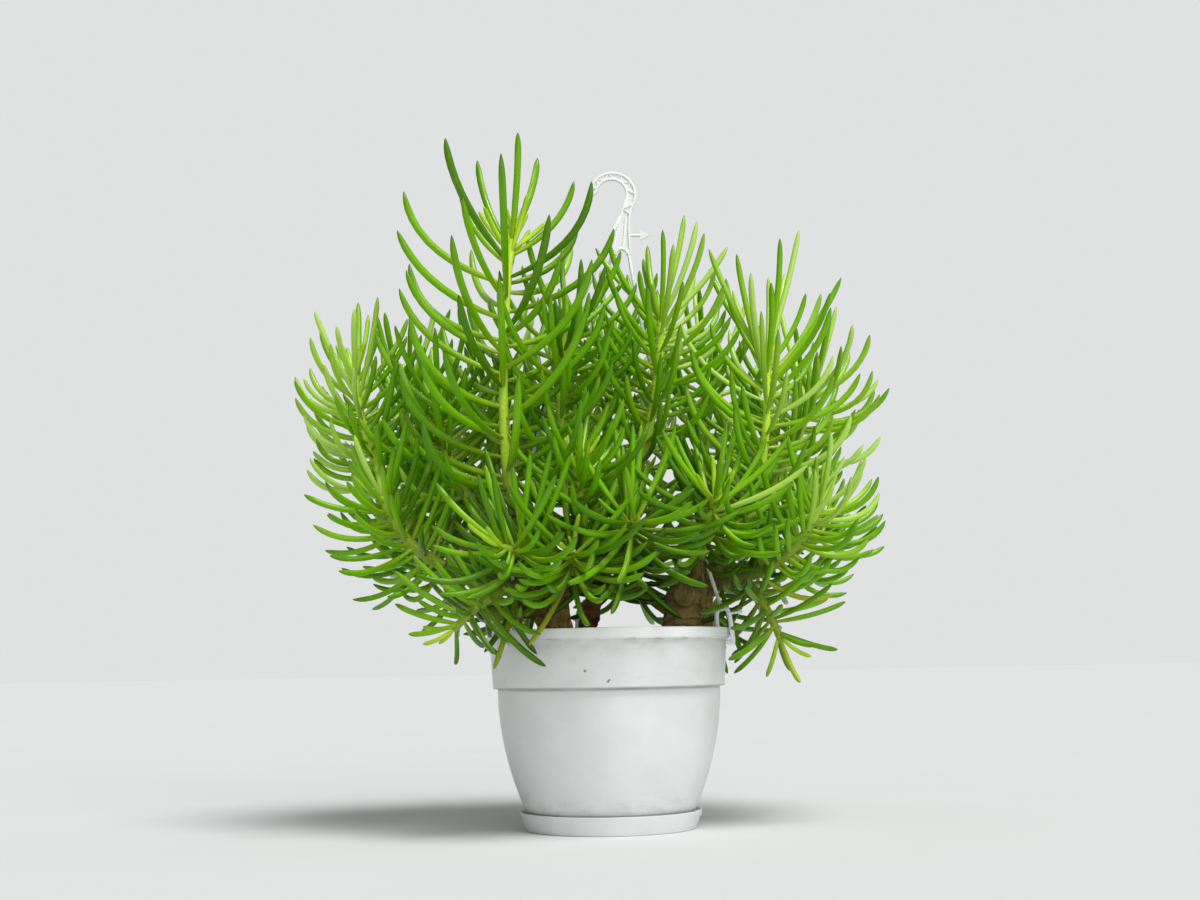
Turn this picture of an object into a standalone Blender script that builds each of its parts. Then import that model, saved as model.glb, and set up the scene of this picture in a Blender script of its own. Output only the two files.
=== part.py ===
"""Potted senecio: a bushy succulent on three woody trunks, in a white moulded hanging pot with its
clip-on saucer and its three-strap plastic hanger. Metres, +Z up. The origin is the middle of the
saucer's underside. The front of the plant faces -Y."""

import math
import random

import bmesh
import bpy
import numpy as np
from mathutils import Matrix, Vector

# Pot: a turned shell with a lip, a straight band below it, a step and a bowl down to the foot
ROUND_STEPS = 32
RIM_TOP = 0.185
LIP_RADIUS = 0.115
LIP_BOTTOM = 0.1745
BAND_TOP_RADIUS = 0.1122
BAND_FOOT_RADIUS = 0.1096
BAND_FOOT = 0.1310
BOWL_RADIUS = 0.1052
BOWL_FOOT_RADIUS = 0.0800
BOWL_FOOT = 0.0176
WALL = 0.0022
EDGE = 0.0010
NECK_RADIUS = 0.0765
BEAD_RADIUS = 0.0785
POT_UNDERSIDE = 0.0050
POT_FLOOR = 0.0075
DRAIN_COUNT = 5
DRAIN_RADIUS = 0.005
DRAIN_CIRCLE = 0.045

# Saucer: a shallow dish that snaps over the pot's foot bead
SAUCER_TOP = 0.0170
SAUCER_TOP_RADIUS = 0.0860
SAUCER_FOOT_RADIUS = 0.0800
SAUCER_WALL = 0.0020
SAUCER_LUGS = 3
LUG_PLACE = (0.0807, 0, 0.0133)
LUG_SIZE = (0.0076, 0.022, 0.0024)
RIB_COUNT = 3
RIB_PLACE = (0.045, 0, 0.0029)
RIB_SIZE = (0.050, 0.003, 0.0036)

# Soil
SOIL_EDGE = 0.1700
SOIL_MIDDLE = 0.1780
GAP = 0.0004

# Hanger: one flat moulding for hook and shoulder, with three straps that clip over the rim
HANGER_Y = 0.040
HANGER_THICKNESS = 0.0046
HOOK_CENTRE = (0.0125, 0.6220)
HOOK_OUTER = 0.0240
HOOK_INNER = 0.0145
STRAP_RADIUS = 0.0021
CLIP_RADIUS = 0.0026
CLIP_ANGLES = {"left": -144, "right": -15, "back": 105}
# Each strap's start on the shoulder (x, z) and the point halfway along it (x, y, z)
STRAPS = {
    "left": (0.0225, 0.604, -0.056, -0.010, 0.400),
    "right": (0.0272, 0.566, 0.056, 0.012, 0.400),
    "back": (0.0135, 0.566, -0.028, 0.088, 0.400),
}

# Spaces that leaves keep out of: between the straps above the plant, and in and under the hook
FREE_SPACES = (
    ((0.011, 0.037, 0.498), (0.011, 0.037, 0.524), 0.019),
    ((0.0115, 0.040, 0.600), (0.0115, 0.040, 0.630), 0.024),
)

# Leaves: a finger that is thin at its root, round along its length and pointed at its tip
LEAF_RADIUS = 0.0039
LEAF_SIDES = 3
LONG_LEAF = 0.122
LONG_LEAF_RINGS = (0.0, 0.22, 0.56, 0.86, 1.0)
SHORT_LEAF_RINGS = (0.0, 0.3, 0.74, 1.0)
FREE_FROM = 0.07
OUTWARD_SHARE = 0.64
UPWARD_SHARE = 0.44
YOUNG_FROM = 0.78
LEADER_YOUNG_FROM = 0.84
GOLDEN_ANGLE = math.radians(137.508)
CLEARANCE = 0.0005
TURNS = (0, 12, -12, 24, -24, 38, -38, 52, -52, 66, -66)
LIFTS = (0, -14, 14)
SHRINKS = (1.0, 0.82, 0.64)
STEM_RADIUS = 0.0053
STEM_TIP_RADIUS = 0.0028
STEM_SHARES = (0.0, 0.08, 0.4, 0.72, 1.0)
BRANCH_SHARES = (0.0, 0.45, 0.9, 1.0)
JOIN_GAP = 0.0006

# Woody trunks: (x, y, z, radius) from the buried end to the crown, where the branches start
TRUNKS = {
    "trunk_left": (
        (-0.047, -0.030, 0.110, 0.010), (-0.049, -0.031, 0.165, 0.0145), (-0.050, -0.030, 0.195, 0.0160),
        (-0.051, -0.029, 0.222, 0.0150), (-0.053, -0.028, 0.240, 0.0100)),
    "trunk_middle": (
        (-0.026, 0.012, 0.110, 0.007), (-0.023, 0.010, 0.165, 0.0095), (-0.018, 0.008, 0.198, 0.0100),
        (-0.008, 0.006, 0.228, 0.0100), (-0.002, 0.006, 0.248, 0.0070)),
    "trunk_right": (
        (0.074, 0.008, 0.110, 0.014), (0.075, 0.009, 0.165, 0.0220), (0.077, 0.010, 0.196, 0.0245),
        (0.082, 0.013, 0.224, 0.0220), (0.085, 0.015, 0.244, 0.0130)),
}
BRANCH_RADIUS = 0.0062

# Leafy shoots: trunk, point halfway along the axis and growing tip, then the share of the axis that
# is bare wood, the number of leaves, the length of the longest leaves and of those at the tip, how far
# they curl up, and the turn of the first leaf in degrees
SHOOTS = {
    "shoot_leader": ("trunk_left", (-0.090, -0.075, 0.331), (-0.083, -0.060, 0.566),
        0.36, 41, 0.146, 0.084, 0.80, 276),
    "shoot_right_tall": ("trunk_right", (0.137, -0.034, 0.292), (0.156, -0.030, 0.447),
        0.34, 32, 0.118, 0.104, 0.76, 85),
    "shoot_left_tall": ("trunk_left", (-0.186, -0.012, 0.292), (-0.240, -0.016, 0.442),
        0.42, 32, 0.100, 0.060, 0.72, 205),
    "shoot_middle_tall": ("trunk_middle", (0.040, -0.025, 0.366), (0.056, -0.020, 0.486),
        0.36, 26, 0.112, 0.098, 0.74, 230),
    "shoot_inner": ("trunk_middle", (-0.039, -0.040, 0.362), (-0.031, -0.045, 0.472),
        0.36, 24, 0.108, 0.084, 0.74, 120),
    "shoot_front_middle": ("trunk_left", (-0.034, -0.090, 0.232), (-0.030, -0.140, 0.252),
        0.50, 18, 0.092, 0.060, 0.48, 30),
    "shoot_front_left": ("trunk_left", (-0.056, -0.100, 0.240), (-0.094, -0.148, 0.256),
        0.50, 18, 0.094, 0.060, 0.42, 80),
    "shoot_front_right": ("trunk_middle", (0.012, -0.075, 0.258), (0.026, -0.128, 0.278),
        0.50, 18, 0.096, 0.064, 0.40, 60),
    "shoot_front_upright": ("trunk_middle", (-0.022, -0.075, 0.275), (-0.024, -0.095, 0.335),
        0.48, 18, 0.094, 0.070, 0.66, 0),
    "shoot_front_far_right": ("trunk_right", (0.090, -0.060, 0.262), (0.098, -0.108, 0.300),
        0.46, 18, 0.094, 0.064, 0.45, 20),
    "shoot_left_inner": ("trunk_left", (-0.134, -0.030, 0.318), (-0.157, -0.020, 0.406),
        0.38, 22, 0.104, 0.082, 0.72, 50),
    "shoot_left_back": ("trunk_left", (-0.165, 0.032, 0.300), (-0.197, 0.040, 0.432),
        0.38, 22, 0.104, 0.078, 0.72, 330),
    "shoot_right_outer": ("trunk_right", (0.172, 0.040, 0.335), (0.207, 0.040, 0.424),
        0.38, 23, 0.108, 0.080, 0.72, 220),
    "shoot_right_low": ("trunk_right", (0.156, -0.050, 0.243), (0.202, -0.052, 0.303),
        0.44, 20, 0.090, 0.060, 0.68, 35),
    "shoot_left_low": ("trunk_left", (-0.156, -0.052, 0.248), (-0.208, -0.058, 0.312),
        0.46, 17, 0.088, 0.060, 0.40, 155),
    "shoot_right_drooping": ("trunk_right", (0.128, -0.012, 0.228), (0.162, -0.028, 0.170),
        0.48, 12, 0.082, 0.052, 0.25, 250),
    "shoot_left_drooping": ("trunk_left", (-0.090, -0.100, 0.222), (-0.138, -0.104, 0.184),
        0.52, 12, 0.072, 0.050, 0.30, 110),
    "shoot_centre_back": ("trunk_middle", (0.002, 0.060, 0.370), (0.007, 0.066, 0.472),
        0.36, 19, 0.104, 0.084, 0.72, 100),
    "shoot_right_back": ("trunk_right", (0.100, 0.075, 0.350), (0.106, 0.090, 0.443),
        0.36, 18, 0.106, 0.090, 0.72, 5),
    "shoot_left_rear": ("trunk_left", (-0.095, 0.055, 0.340), (-0.112, 0.080, 0.440),
        0.38, 17, 0.104, 0.080, 0.72, 45),
    "shoot_rear": ("trunk_middle", (-0.024, 0.110, 0.310), (-0.016, 0.152, 0.395),
        0.38, 16, 0.104, 0.080, 0.70, 75),
    "shoot_rear_right": ("trunk_right", (0.122, 0.085, 0.272), (0.166, 0.122, 0.340),
        0.42, 15, 0.102, 0.074, 0.68, 55),
    "shoot_rear_left": ("trunk_left", (-0.125, 0.080, 0.262), (-0.172, 0.116, 0.330),
        0.44, 15, 0.102, 0.072, 0.68, 90),
    "shoot_rear_low": ("trunk_middle", (0.020, 0.092, 0.240), (0.032, 0.166, 0.262),
        0.48, 13, 0.096, 0.060, 0.40, 20),
    "shoot_right_rear_low": ("trunk_right", (0.160, 0.040, 0.248), (0.214, 0.060, 0.285),
        0.44, 12, 0.098, 0.062, 0.45, 60),
    "shoot_left_rear_low": ("trunk_left", (-0.136, 0.030, 0.244), (-0.200, 0.052, 0.272),
        0.44, 12, 0.096, 0.060, 0.45, 105),
    "shoot_rear_left_drooping": ("trunk_left", (-0.068, 0.090, 0.228), (-0.096, 0.142, 0.190),
        0.50, 10, 0.084, 0.052, 0.30, 35),
    "shoot_rear_right_drooping": ("trunk_right", (0.092, 0.094, 0.228), (0.112, 0.146, 0.194),
        0.50, 10, 0.084, 0.052, 0.30, 70),
}

# Edges sharper than this stay sharp in the smooth-shaded pieces
SHARP_ANGLE = math.radians(50)

parts = bpy.data.collections.new("potted_senecio")
cutters = bpy.data.collections.new("cutters")


def clear_scene():
    for obj in list(bpy.data.objects):
        bpy.data.objects.remove(obj)
    bpy.context.scene.collection.children.link(parts)
    bpy.context.scene.collection.children.link(cutters)


def make_material(name, colour, roughness):
    material = bpy.data.materials.new(name)
    material.use_nodes = True
    shader = material.node_tree.nodes["Principled BSDF"]
    shader.inputs["Base Color"].default_value = (*colour, 1.0)
    shader.inputs["Roughness"].default_value = roughness
    shader.inputs["Metallic"].default_value = 0.0
    return material


def add_object(name, data, collection, material=None):
    obj = bpy.data.objects.new(name, data)
    collection.objects.link(obj)
    if material:
        data.materials.append(material)
    return obj


def add_turned(name, profile, material, steps=ROUND_STEPS):
    """A solid of revolution about Z from (radius, height) points that run down its outer side."""
    mesh = bpy.data.meshes.new(name)
    points = [(radius, 0, height) for radius, height in profile]
    mesh.from_pydata(points, [(i, i + 1) for i in range(len(points) - 1)], [])
    obj = add_object(name, mesh, parts, material)
    screw = obj.modifiers.new("turn", "SCREW")
    screw.steps = steps
    screw.render_steps = steps
    screw.use_merge_vertices = True
    screw.merge_threshold = 0.0001
    screw.use_smooth_shade = True
    return obj


def add_cutter(name, mesh_maker):
    """A helper solid that a Boolean reads, made by mesh_maker in a bmesh."""
    mesh = bpy.data.meshes.new(name)
    bm = bmesh.new()
    mesh_maker(bm)
    bmesh.ops.recalc_face_normals(bm, faces=bm.faces)
    bm.to_mesh(mesh)
    bm.free()
    obj = add_object(name, mesh, cutters)
    obj.hide_render = True
    obj.display_type = "WIRE"
    return obj


def add_boolean(obj, other, operation):
    boolean = obj.modifiers.new(operation.lower(), "BOOLEAN")
    boolean.operation = operation
    boolean.object = other


def evaluated_mesh(obj, name):
    """The object's mesh with its modifiers applied and its points in world space."""
    bpy.context.view_layer.update()
    graph = bpy.context.evaluated_depsgraph_get()
    mesh = bpy.data.meshes.new_from_object(obj.evaluated_get(graph))
    mesh.name = name
    mesh.transform(obj.matrix_world)
    return mesh


def tube_object(name, points, radii, resolution=1):
    """A tube along points with its own radius at each, as a closed mesh with its caps welded."""
    curve = bpy.data.curves.new(name + "_line", "CURVE")
    curve.dimensions = "3D"
    curve.bevel_depth = 1.0
    curve.bevel_resolution = resolution
    curve.use_fill_caps = True
    spline = curve.splines.new("POLY")
    spline.points.add(len(points) - 1)
    for point, place, radius in zip(spline.points, points, radii):
        point.co = (*place, 1.0)
        point.radius = radius
    guide = add_object(name + "_line", curve, cutters)
    mesh = evaluated_mesh(guide, name)
    bpy.data.objects.remove(guide)
    bm = bmesh.new()
    bm.from_mesh(mesh)
    bmesh.ops.remove_doubles(bm, verts=bm.verts, dist=0.00001)
    bmesh.ops.recalc_face_normals(bm, faces=bm.faces)
    bm.to_mesh(mesh)
    bm.free()
    return add_object(name, mesh, cutters)


def fill_pockets(mesh):
    """Fills the small hollows between crossing pieces: every shell but the largest is removed."""
    bm = bmesh.new()
    bm.from_mesh(mesh)
    waiting = set(bm.faces)
    shells = []
    while waiting:
        shell = set()
        edge_of_shell = [waiting.pop()]
        while edge_of_shell:
            face = edge_of_shell.pop()
            shell.add(face)
            for edge in face.edges:
                for other in edge.link_faces:
                    if other in waiting:
                        waiting.remove(other)
                        edge_of_shell.append(other)
        shells.append(shell)
    largest = max(shells, key=len)
    for shell in shells:
        if shell is not largest:
            bmesh.ops.delete(bm, geom=list(shell), context="FACES")
    bm.to_mesh(mesh)
    bm.free()


def fuse(name, pieces, material):
    """One solid from overlapping pieces, by one union of a collection on the first of them."""
    body, *others = pieces
    joined = bpy.data.collections.new(name + "_pieces")
    bpy.context.scene.collection.children.link(joined)
    for piece in others:
        cutters.objects.unlink(piece)
        joined.objects.link(piece)
    union = body.modifiers.new("union", "BOOLEAN")
    union.operation = "UNION"
    union.operand_type = "COLLECTION"
    union.collection = joined
    union.solver = "MANIFOLD"
    mesh = evaluated_mesh(body, name)
    fill_pockets(mesh)
    for piece in pieces:
        bpy.data.objects.remove(piece)
    bpy.data.collections.remove(joined)
    mesh.materials.clear()
    mesh.shade_smooth()
    mesh.set_sharp_from_angle(angle=SHARP_ANGLE)
    return add_object(name, mesh, parts, material)


# Plant geometry. Every curve is a quadratic arc through three control points.


def arc_point(controls, t):
    a, b, c = controls
    return a * (1 - t) ** 2 + b * 2 * t * (1 - t) + c * t * t


def arc_tangent(controls, t):
    a, b, c = controls
    return ((b - a) * (1 - t) + (c - b) * t).normalized()


def shoot_axis(shoot):
    """Control points of a shoot's axis, from inside its trunk's crown to its growing tip."""
    trunk, halfway, tip = SHOOTS[shoot][:3]
    start = Vector(TRUNKS[trunk][-2][:3])
    return start, Vector(halfway) * 2 - (start + Vector(tip)) / 2, Vector(tip)


def leaf_radius(t):
    """Share of the leaf's full radius at t along it."""
    swell = min(t / 0.4, 1.0)
    return (0.42 + 0.58 * swell * (2 - swell)) * max(1 - t ** 5, 0.0) ** 0.75


def leaf_rings(controls):
    """Places along a leaf where its outline is kept: more of them on a long leaf."""
    length = (controls[1] - controls[0]).length + (controls[2] - controls[1]).length
    return LONG_LEAF_RINGS if length > LONG_LEAF else SHORT_LEAF_RINGS


def leaf_controls(root, stem_way, turn, lean, length, curl):
    """Control points of a leaf that leaves the stem at lean degrees from it and curls up towards its tip."""
    side = stem_way.orthogonal().normalized()
    side.rotate(Matrix.Rotation(turn, 3, stem_way))
    lean = math.radians(lean)
    first = (stem_way * math.cos(lean) + side * math.sin(lean)).normalized()
    last = (first * (1 - curl) + Vector((0, 0, 1)) * curl * 1.25).normalized()
    bend = root + first * length * OUTWARD_SHARE
    return root, bend, bend + last * length * UPWARD_SHARE


def capsules_of(points, radii):
    """The rods between neighbouring points: starts, ends and radii."""
    places = np.array([tuple(p) for p in points])
    widths = np.array(radii)
    return places[:-1], places[1:], np.maximum(widths[:-1], widths[1:])


def rod_distances(starts, ends, other_starts, other_ends):
    """Distance between each rod of one set and each of another."""
    a = starts[:, None, :]
    b = other_starts[None, :, :]
    along = (ends - starts)[:, None, :]
    other_along = (other_ends - other_starts)[None, :, :]
    between = a - b
    aa = (along * along).sum(-1)
    bb = (other_along * other_along).sum(-1)
    ab = (along * other_along).sum(-1)
    a_way = (along * between).sum(-1)
    b_way = (other_along * between).sum(-1)
    spread = np.maximum(aa * bb - ab * ab, 1e-16)
    s = np.clip((ab * b_way - a_way * bb) / spread, 0, 1)
    t = np.clip((ab * s + b_way) / bb, 0, 1)
    s = np.clip((ab * t - a_way) / aa, 0, 1)
    return np.linalg.norm(between + along * s[..., None] - other_along * t[..., None], axis=-1)


class Crowd:
    """The rods that are already in place, each with the name of the piece that it belongs to."""

    def __init__(self):
        self.starts = np.zeros((0, 3))
        self.ends = np.zeros((0, 3))
        self.radii = np.zeros(0)
        self.owners = np.zeros(0, dtype=object)

    def add(self, owner, rods):
        starts, ends, radii = rods
        self.starts = np.vstack([self.starts, starts])
        self.ends = np.vstack([self.ends, ends])
        self.radii = np.concatenate([self.radii, radii])
        self.owners = np.concatenate([self.owners, np.full(len(radii), owner, dtype=object)])

    def clear(self, rods, ignored=()):
        """Whether the rods keep their distance from every piece but the ignored ones."""
        starts, ends, radii = rods
        middle = (starts[0] + ends[-1]) / 2
        reach = np.linalg.norm(ends[-1] - starts[0]) / 2 + 0.06
        near = np.linalg.norm((self.starts + self.ends) / 2 - middle, axis=1) < reach
        for owner in ignored:
            near &= self.owners != owner
        if not near.any():
            return True
        gaps = rod_distances(starts, ends, self.starts[near], self.ends[near])
        return bool((gaps > radii[:, None] + self.radii[near][None, :] + CLEARANCE).all())


def clear_of_pot(points, radius):
    return all(p.z > RIM_TOP + radius or math.hypot(p.x, p.y) > LIP_RADIUS + radius + 0.001 for p in points)


def leaf_plan(shoot, number, count, draw):
    """Where a leaf sits on its shoot, and its turn, lean, length and curl before it is fitted."""
    bare, _, longest, tip_length, curl, first_turn = SHOOTS[shoot][3:]
    share = (number + 0.5) / count
    height = bare + 0.03 + (0.96 - bare) * share ** 0.85
    young_from = LEADER_YOUNG_FROM if shoot == "shoot_leader" else YOUNG_FROM
    young = max(0.0, (share - young_from) / (1 - young_from))
    turn = math.radians(first_turn) + number * GOLDEN_ANGLE + draw.uniform(-0.2, 0.2)
    lean = 84 - 12 * share - 50 * young + draw.uniform(-7, 7)
    length = longest + (tip_length - longest) * young
    return height, turn, lean, length * draw.uniform(0.88, 1.06), curl * draw.uniform(0.8, 1.15)


def fit_leaf(shoot, axis, plan, crowd):
    """The leaf's control points, turned, leant or shortened until it is clear of all others, or None."""
    height, turn, lean, length, curl = plan
    root, way = arc_point(axis, height), arc_tangent(axis, height)
    for shrink in SHRINKS:
        for lift in LIFTS:
            for extra in TURNS:
                way_out = turn + math.radians(extra)
                controls = leaf_controls(root, way, way_out, lean + lift, length * shrink, curl)
                rings = leaf_rings(controls)
                points = [arc_point(controls, t) for t in rings]
                radii = [LEAF_RADIUS * leaf_radius(t) for t in rings]
                if not clear_of_pot([arc_point(controls, t / 8) for t in range(9)], LEAF_RADIUS):
                    continue
                free = capsules_of([arc_point(controls, FREE_FROM), *points[1:]], radii)
                whole = capsules_of(points, radii)
                if crowd.clear(free, (shoot + "_stem",)) and crowd.clear(whole, (shoot, shoot + "_stem")):
                    return controls, free
    return None


def grow_leaves(crowd):
    """Control points of every leaf, shoot by shoot."""
    grown = {}
    for shoot in SHOOTS:
        draw = random.Random(shoot)
        axis = shoot_axis(shoot)
        count = SHOOTS[shoot][4]
        grown[shoot] = []
        for number in range(count):
            fitted = fit_leaf(shoot, axis, leaf_plan(shoot, number, count, draw), crowd)
            if fitted:
                controls, rods = fitted
                grown[shoot].append(controls)
                crowd.add(shoot, rods)
    return grown


def stem_line(shoot):
    """Points and radii of a shoot's green stem, from its joint with the wood to its growing tip."""
    bare = SHOOTS[shoot][3]
    axis = shoot_axis(shoot)
    points = [arc_point(axis, bare + (1 - bare) * share) for share in STEM_SHARES]
    points[0] += arc_tangent(axis, bare) * JOIN_GAP
    return points, [STEM_RADIUS + (STEM_TIP_RADIUS - STEM_RADIUS) * share ** 1.3 for share in STEM_SHARES]


def branch_line(shoot):
    """Points and radii of the woody branch that carries a shoot."""
    bare = SHOOTS[shoot][3]
    axis = shoot_axis(shoot)
    radii = [BRANCH_RADIUS + (STEM_RADIUS - BRANCH_RADIUS) * share for share in BRANCH_SHARES]
    return [arc_point(axis, bare * share) for share in BRANCH_SHARES], radii


def leaf_object(name, controls):
    """A leaf: a sphere of few sides whose rings are moved onto the leaf's arc."""
    rings = leaf_rings(controls)
    last = len(rings) - 1
    bm = bmesh.new()
    bmesh.ops.create_uvsphere(bm, u_segments=LEAF_SIDES, v_segments=last, radius=1.0)
    across = arc_tangent(controls, 0.0).cross(arc_tangent(controls, 1.0))
    if across.length < 0.01:
        across = arc_tangent(controls, 0.5).orthogonal()
    across.normalize()
    for vertex in bm.verts:
        ring = round(math.acos(max(-1.0, min(1.0, vertex.co.z))) / math.pi * last)
        t = rings[ring]
        angle = math.atan2(vertex.co.y, vertex.co.x)
        radius = LEAF_RADIUS * leaf_radius(t) if 0 < ring < last else 0.0
        upper = across.cross(arc_tangent(controls, t)).normalized()
        vertex.co = arc_point(controls, t) + (upper * math.cos(angle) - across * math.sin(angle)) * radius
    mesh = bpy.data.meshes.new(name)
    bm.to_mesh(mesh)
    bm.free()
    return add_object(name, mesh, cutters)


# Pot, saucer and soil


def bowl_radius(z):
    """Outer radius of the bowl between its foot and the band."""
    share = (z - BOWL_FOOT) / (BAND_FOOT - BOWL_FOOT)
    return BOWL_FOOT_RADIUS + (BOWL_RADIUS - BOWL_FOOT_RADIUS) * (1 - (1 - share) ** 2)


BOWL_HEIGHTS = [BOWL_FOOT + (BAND_FOOT - BOWL_FOOT) * share for share in (0.0, 0.14, 0.34, 0.62, 1.0)]
INNER_HEIGHTS = (BOWL_HEIGHTS[2], BOWL_HEIGHTS[4])


def inner_wall():
    """(radius, height) points of the pot's inside, from the floor up to the rim."""
    bowl = [(bowl_radius(z) - WALL, z) for z in INNER_HEIGHTS]
    return [(NECK_RADIUS - WALL, POT_FLOOR), (NECK_RADIUS - WALL, BOWL_FOOT), *bowl,
            (BAND_FOOT_RADIUS - WALL, BAND_FOOT + 0.004)]


def build_pot(material):
    outer = [(LIP_RADIUS - EDGE, RIM_TOP), (LIP_RADIUS, RIM_TOP - EDGE), (LIP_RADIUS, LIP_BOTTOM + EDGE),
             (BAND_TOP_RADIUS, LIP_BOTTOM), (BAND_FOOT_RADIUS, BAND_FOOT + EDGE), (BOWL_RADIUS, BAND_FOOT)]
    outer += [(bowl_radius(z), z) for z in reversed(BOWL_HEIGHTS[:-1])]
    foot = [(NECK_RADIUS, BOWL_FOOT - 0.0004), (NECK_RADIUS, 0.0115), (BEAD_RADIUS, 0.0105),
            (BEAD_RADIUS, POT_UNDERSIDE), (0, POT_UNDERSIDE)]
    rim = [(BAND_TOP_RADIUS - WALL, RIM_TOP - EDGE), (BAND_TOP_RADIUS - WALL + EDGE, RIM_TOP)]
    pot = add_turned("pot", [(0, POT_FLOOR), *inner_wall(), *rim, *outer, *foot], material)

    def drains(bm):
        for k in range(DRAIN_COUNT):
            angle = 2 * math.pi * (k + 0.5) / DRAIN_COUNT
            out = Vector((math.cos(angle), math.sin(angle), 0)) * DRAIN_CIRCLE
            place = Matrix.Translation(out + Vector((0, 0, POT_FLOOR)))
            bmesh.ops.create_cone(bm, cap_ends=True, segments=6, radius1=DRAIN_RADIUS,
                                  radius2=DRAIN_RADIUS, depth=0.02, matrix=place)

    add_boolean(pot, add_cutter("drain_cutter", drains), "DIFFERENCE")
    return pot


def build_saucer(material):
    wall = SAUCER_WALL
    inside = [(0, wall), (SAUCER_FOOT_RADIUS - wall, wall), (SAUCER_TOP_RADIUS - wall, SAUCER_TOP - 0.0008)]
    rim = [(SAUCER_TOP_RADIUS - wall * 0.6, SAUCER_TOP), (SAUCER_TOP_RADIUS, SAUCER_TOP - 0.0006)]
    profile = [*inside, *rim, (SAUCER_FOOT_RADIUS, 0.0016), (SAUCER_FOOT_RADIUS - 0.0016, 0), (0, 0)]
    saucer = add_turned("saucer", profile, material)

    def inner_pieces(bm):
        for k in range(SAUCER_LUGS):
            turn = Matrix.Rotation(2 * math.pi * k / SAUCER_LUGS, 4, "Z")
            lug = Matrix.Translation(LUG_PLACE) @ Matrix.Diagonal((*LUG_SIZE, 1))
            bmesh.ops.create_cube(bm, size=1.0, matrix=turn @ lug)
        for k in range(RIB_COUNT):
            turn = Matrix.Rotation(2 * math.pi * (k + 0.5) / RIB_COUNT, 4, "Z")
            rib = Matrix.Translation(RIB_PLACE) @ Matrix.Diagonal((*RIB_SIZE, 1))
            bmesh.ops.create_cube(bm, size=1.0, matrix=turn @ rib)

    add_boolean(saucer, add_cutter("saucer_lugs_and_ribs", inner_pieces), "UNION")
    return saucer


def build_soil(material):
    below = [(radius - GAP, z) for radius, z in inner_wall() if z > POT_FLOOR]
    (low_radius, low), (high_radius, high) = below[-1], (BAND_TOP_RADIUS - WALL - GAP, RIM_TOP - EDGE)
    edge_radius = low_radius + (high_radius - low_radius) * (SOIL_EDGE - low) / (high - low)
    mound = [(0, SOIL_MIDDLE), (0.06, SOIL_MIDDLE - 0.001), (0.095, SOIL_EDGE + 0.002)]
    profile = [*mound, (edge_radius, SOIL_EDGE)]
    profile += [*reversed(below), (NECK_RADIUS - WALL - GAP, POT_FLOOR + GAP), (0, POT_FLOOR + GAP)]
    soil = add_turned("soil", profile, material)
    for trunk, line in TRUNKS.items():
        places = [Vector(p[:3]) for p in line[:3]]
        hole = tube_object(trunk + "_hole", places, [p[3] + GAP * 1.3 for p in line[:3]], 2)
        hole.hide_render = True
        hole.display_type = "WIRE"
        hole.data.transform(Matrix.Translation((0, 0, -GAP)))
        add_boolean(soil, hole, "DIFFERENCE")
    return soil


# Hanger


def clip_frame(side):
    """Outward direction and a function from (distance from the axis, height) to a point, at one clip."""
    angle = math.radians(CLIP_ANGLES[side])
    out = Vector((math.cos(angle), math.sin(angle), 0))
    return lambda radius, height: out * radius + Vector((0, 0, height))


def strap_line(side):
    """Points along a strap, from the hanger's shoulder to the fork over the rim."""
    start_x, start_z, *bulge = STRAPS[side]
    start = Vector((start_x, HANGER_Y, start_z))
    end = clip_frame(side)(0.1100, RIM_TOP + 0.0190)
    middle = Vector(bulge) * 2 - (start + end) / 2
    return [arc_point((start, middle, end), k / 6) for k in range(7)]


def clip_lines(side):
    """The fork over the rim, from its inner leg to its toe under the lip, and its thumb tab."""
    at = clip_frame(side)
    top = RIM_TOP + 0.0180
    fork = [at(0.1064, RIM_TOP - 0.006), at(0.1056, RIM_TOP + 0.011), at(0.1082, top), at(0.1130, top),
            at(0.1174, RIM_TOP + 0.0125), at(0.1206, LIP_BOTTOM - 0.003), at(0.1160, LIP_BOTTOM - 0.003)]
    tab = [at(0.1165, RIM_TOP + 0.0125), at(0.1275, RIM_TOP + 0.0140)]
    return fork, tab


def round_point(x, z, radius, degrees):
    angle = math.radians(degrees)
    return x + radius * math.cos(angle), z + radius * math.sin(angle)


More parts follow.
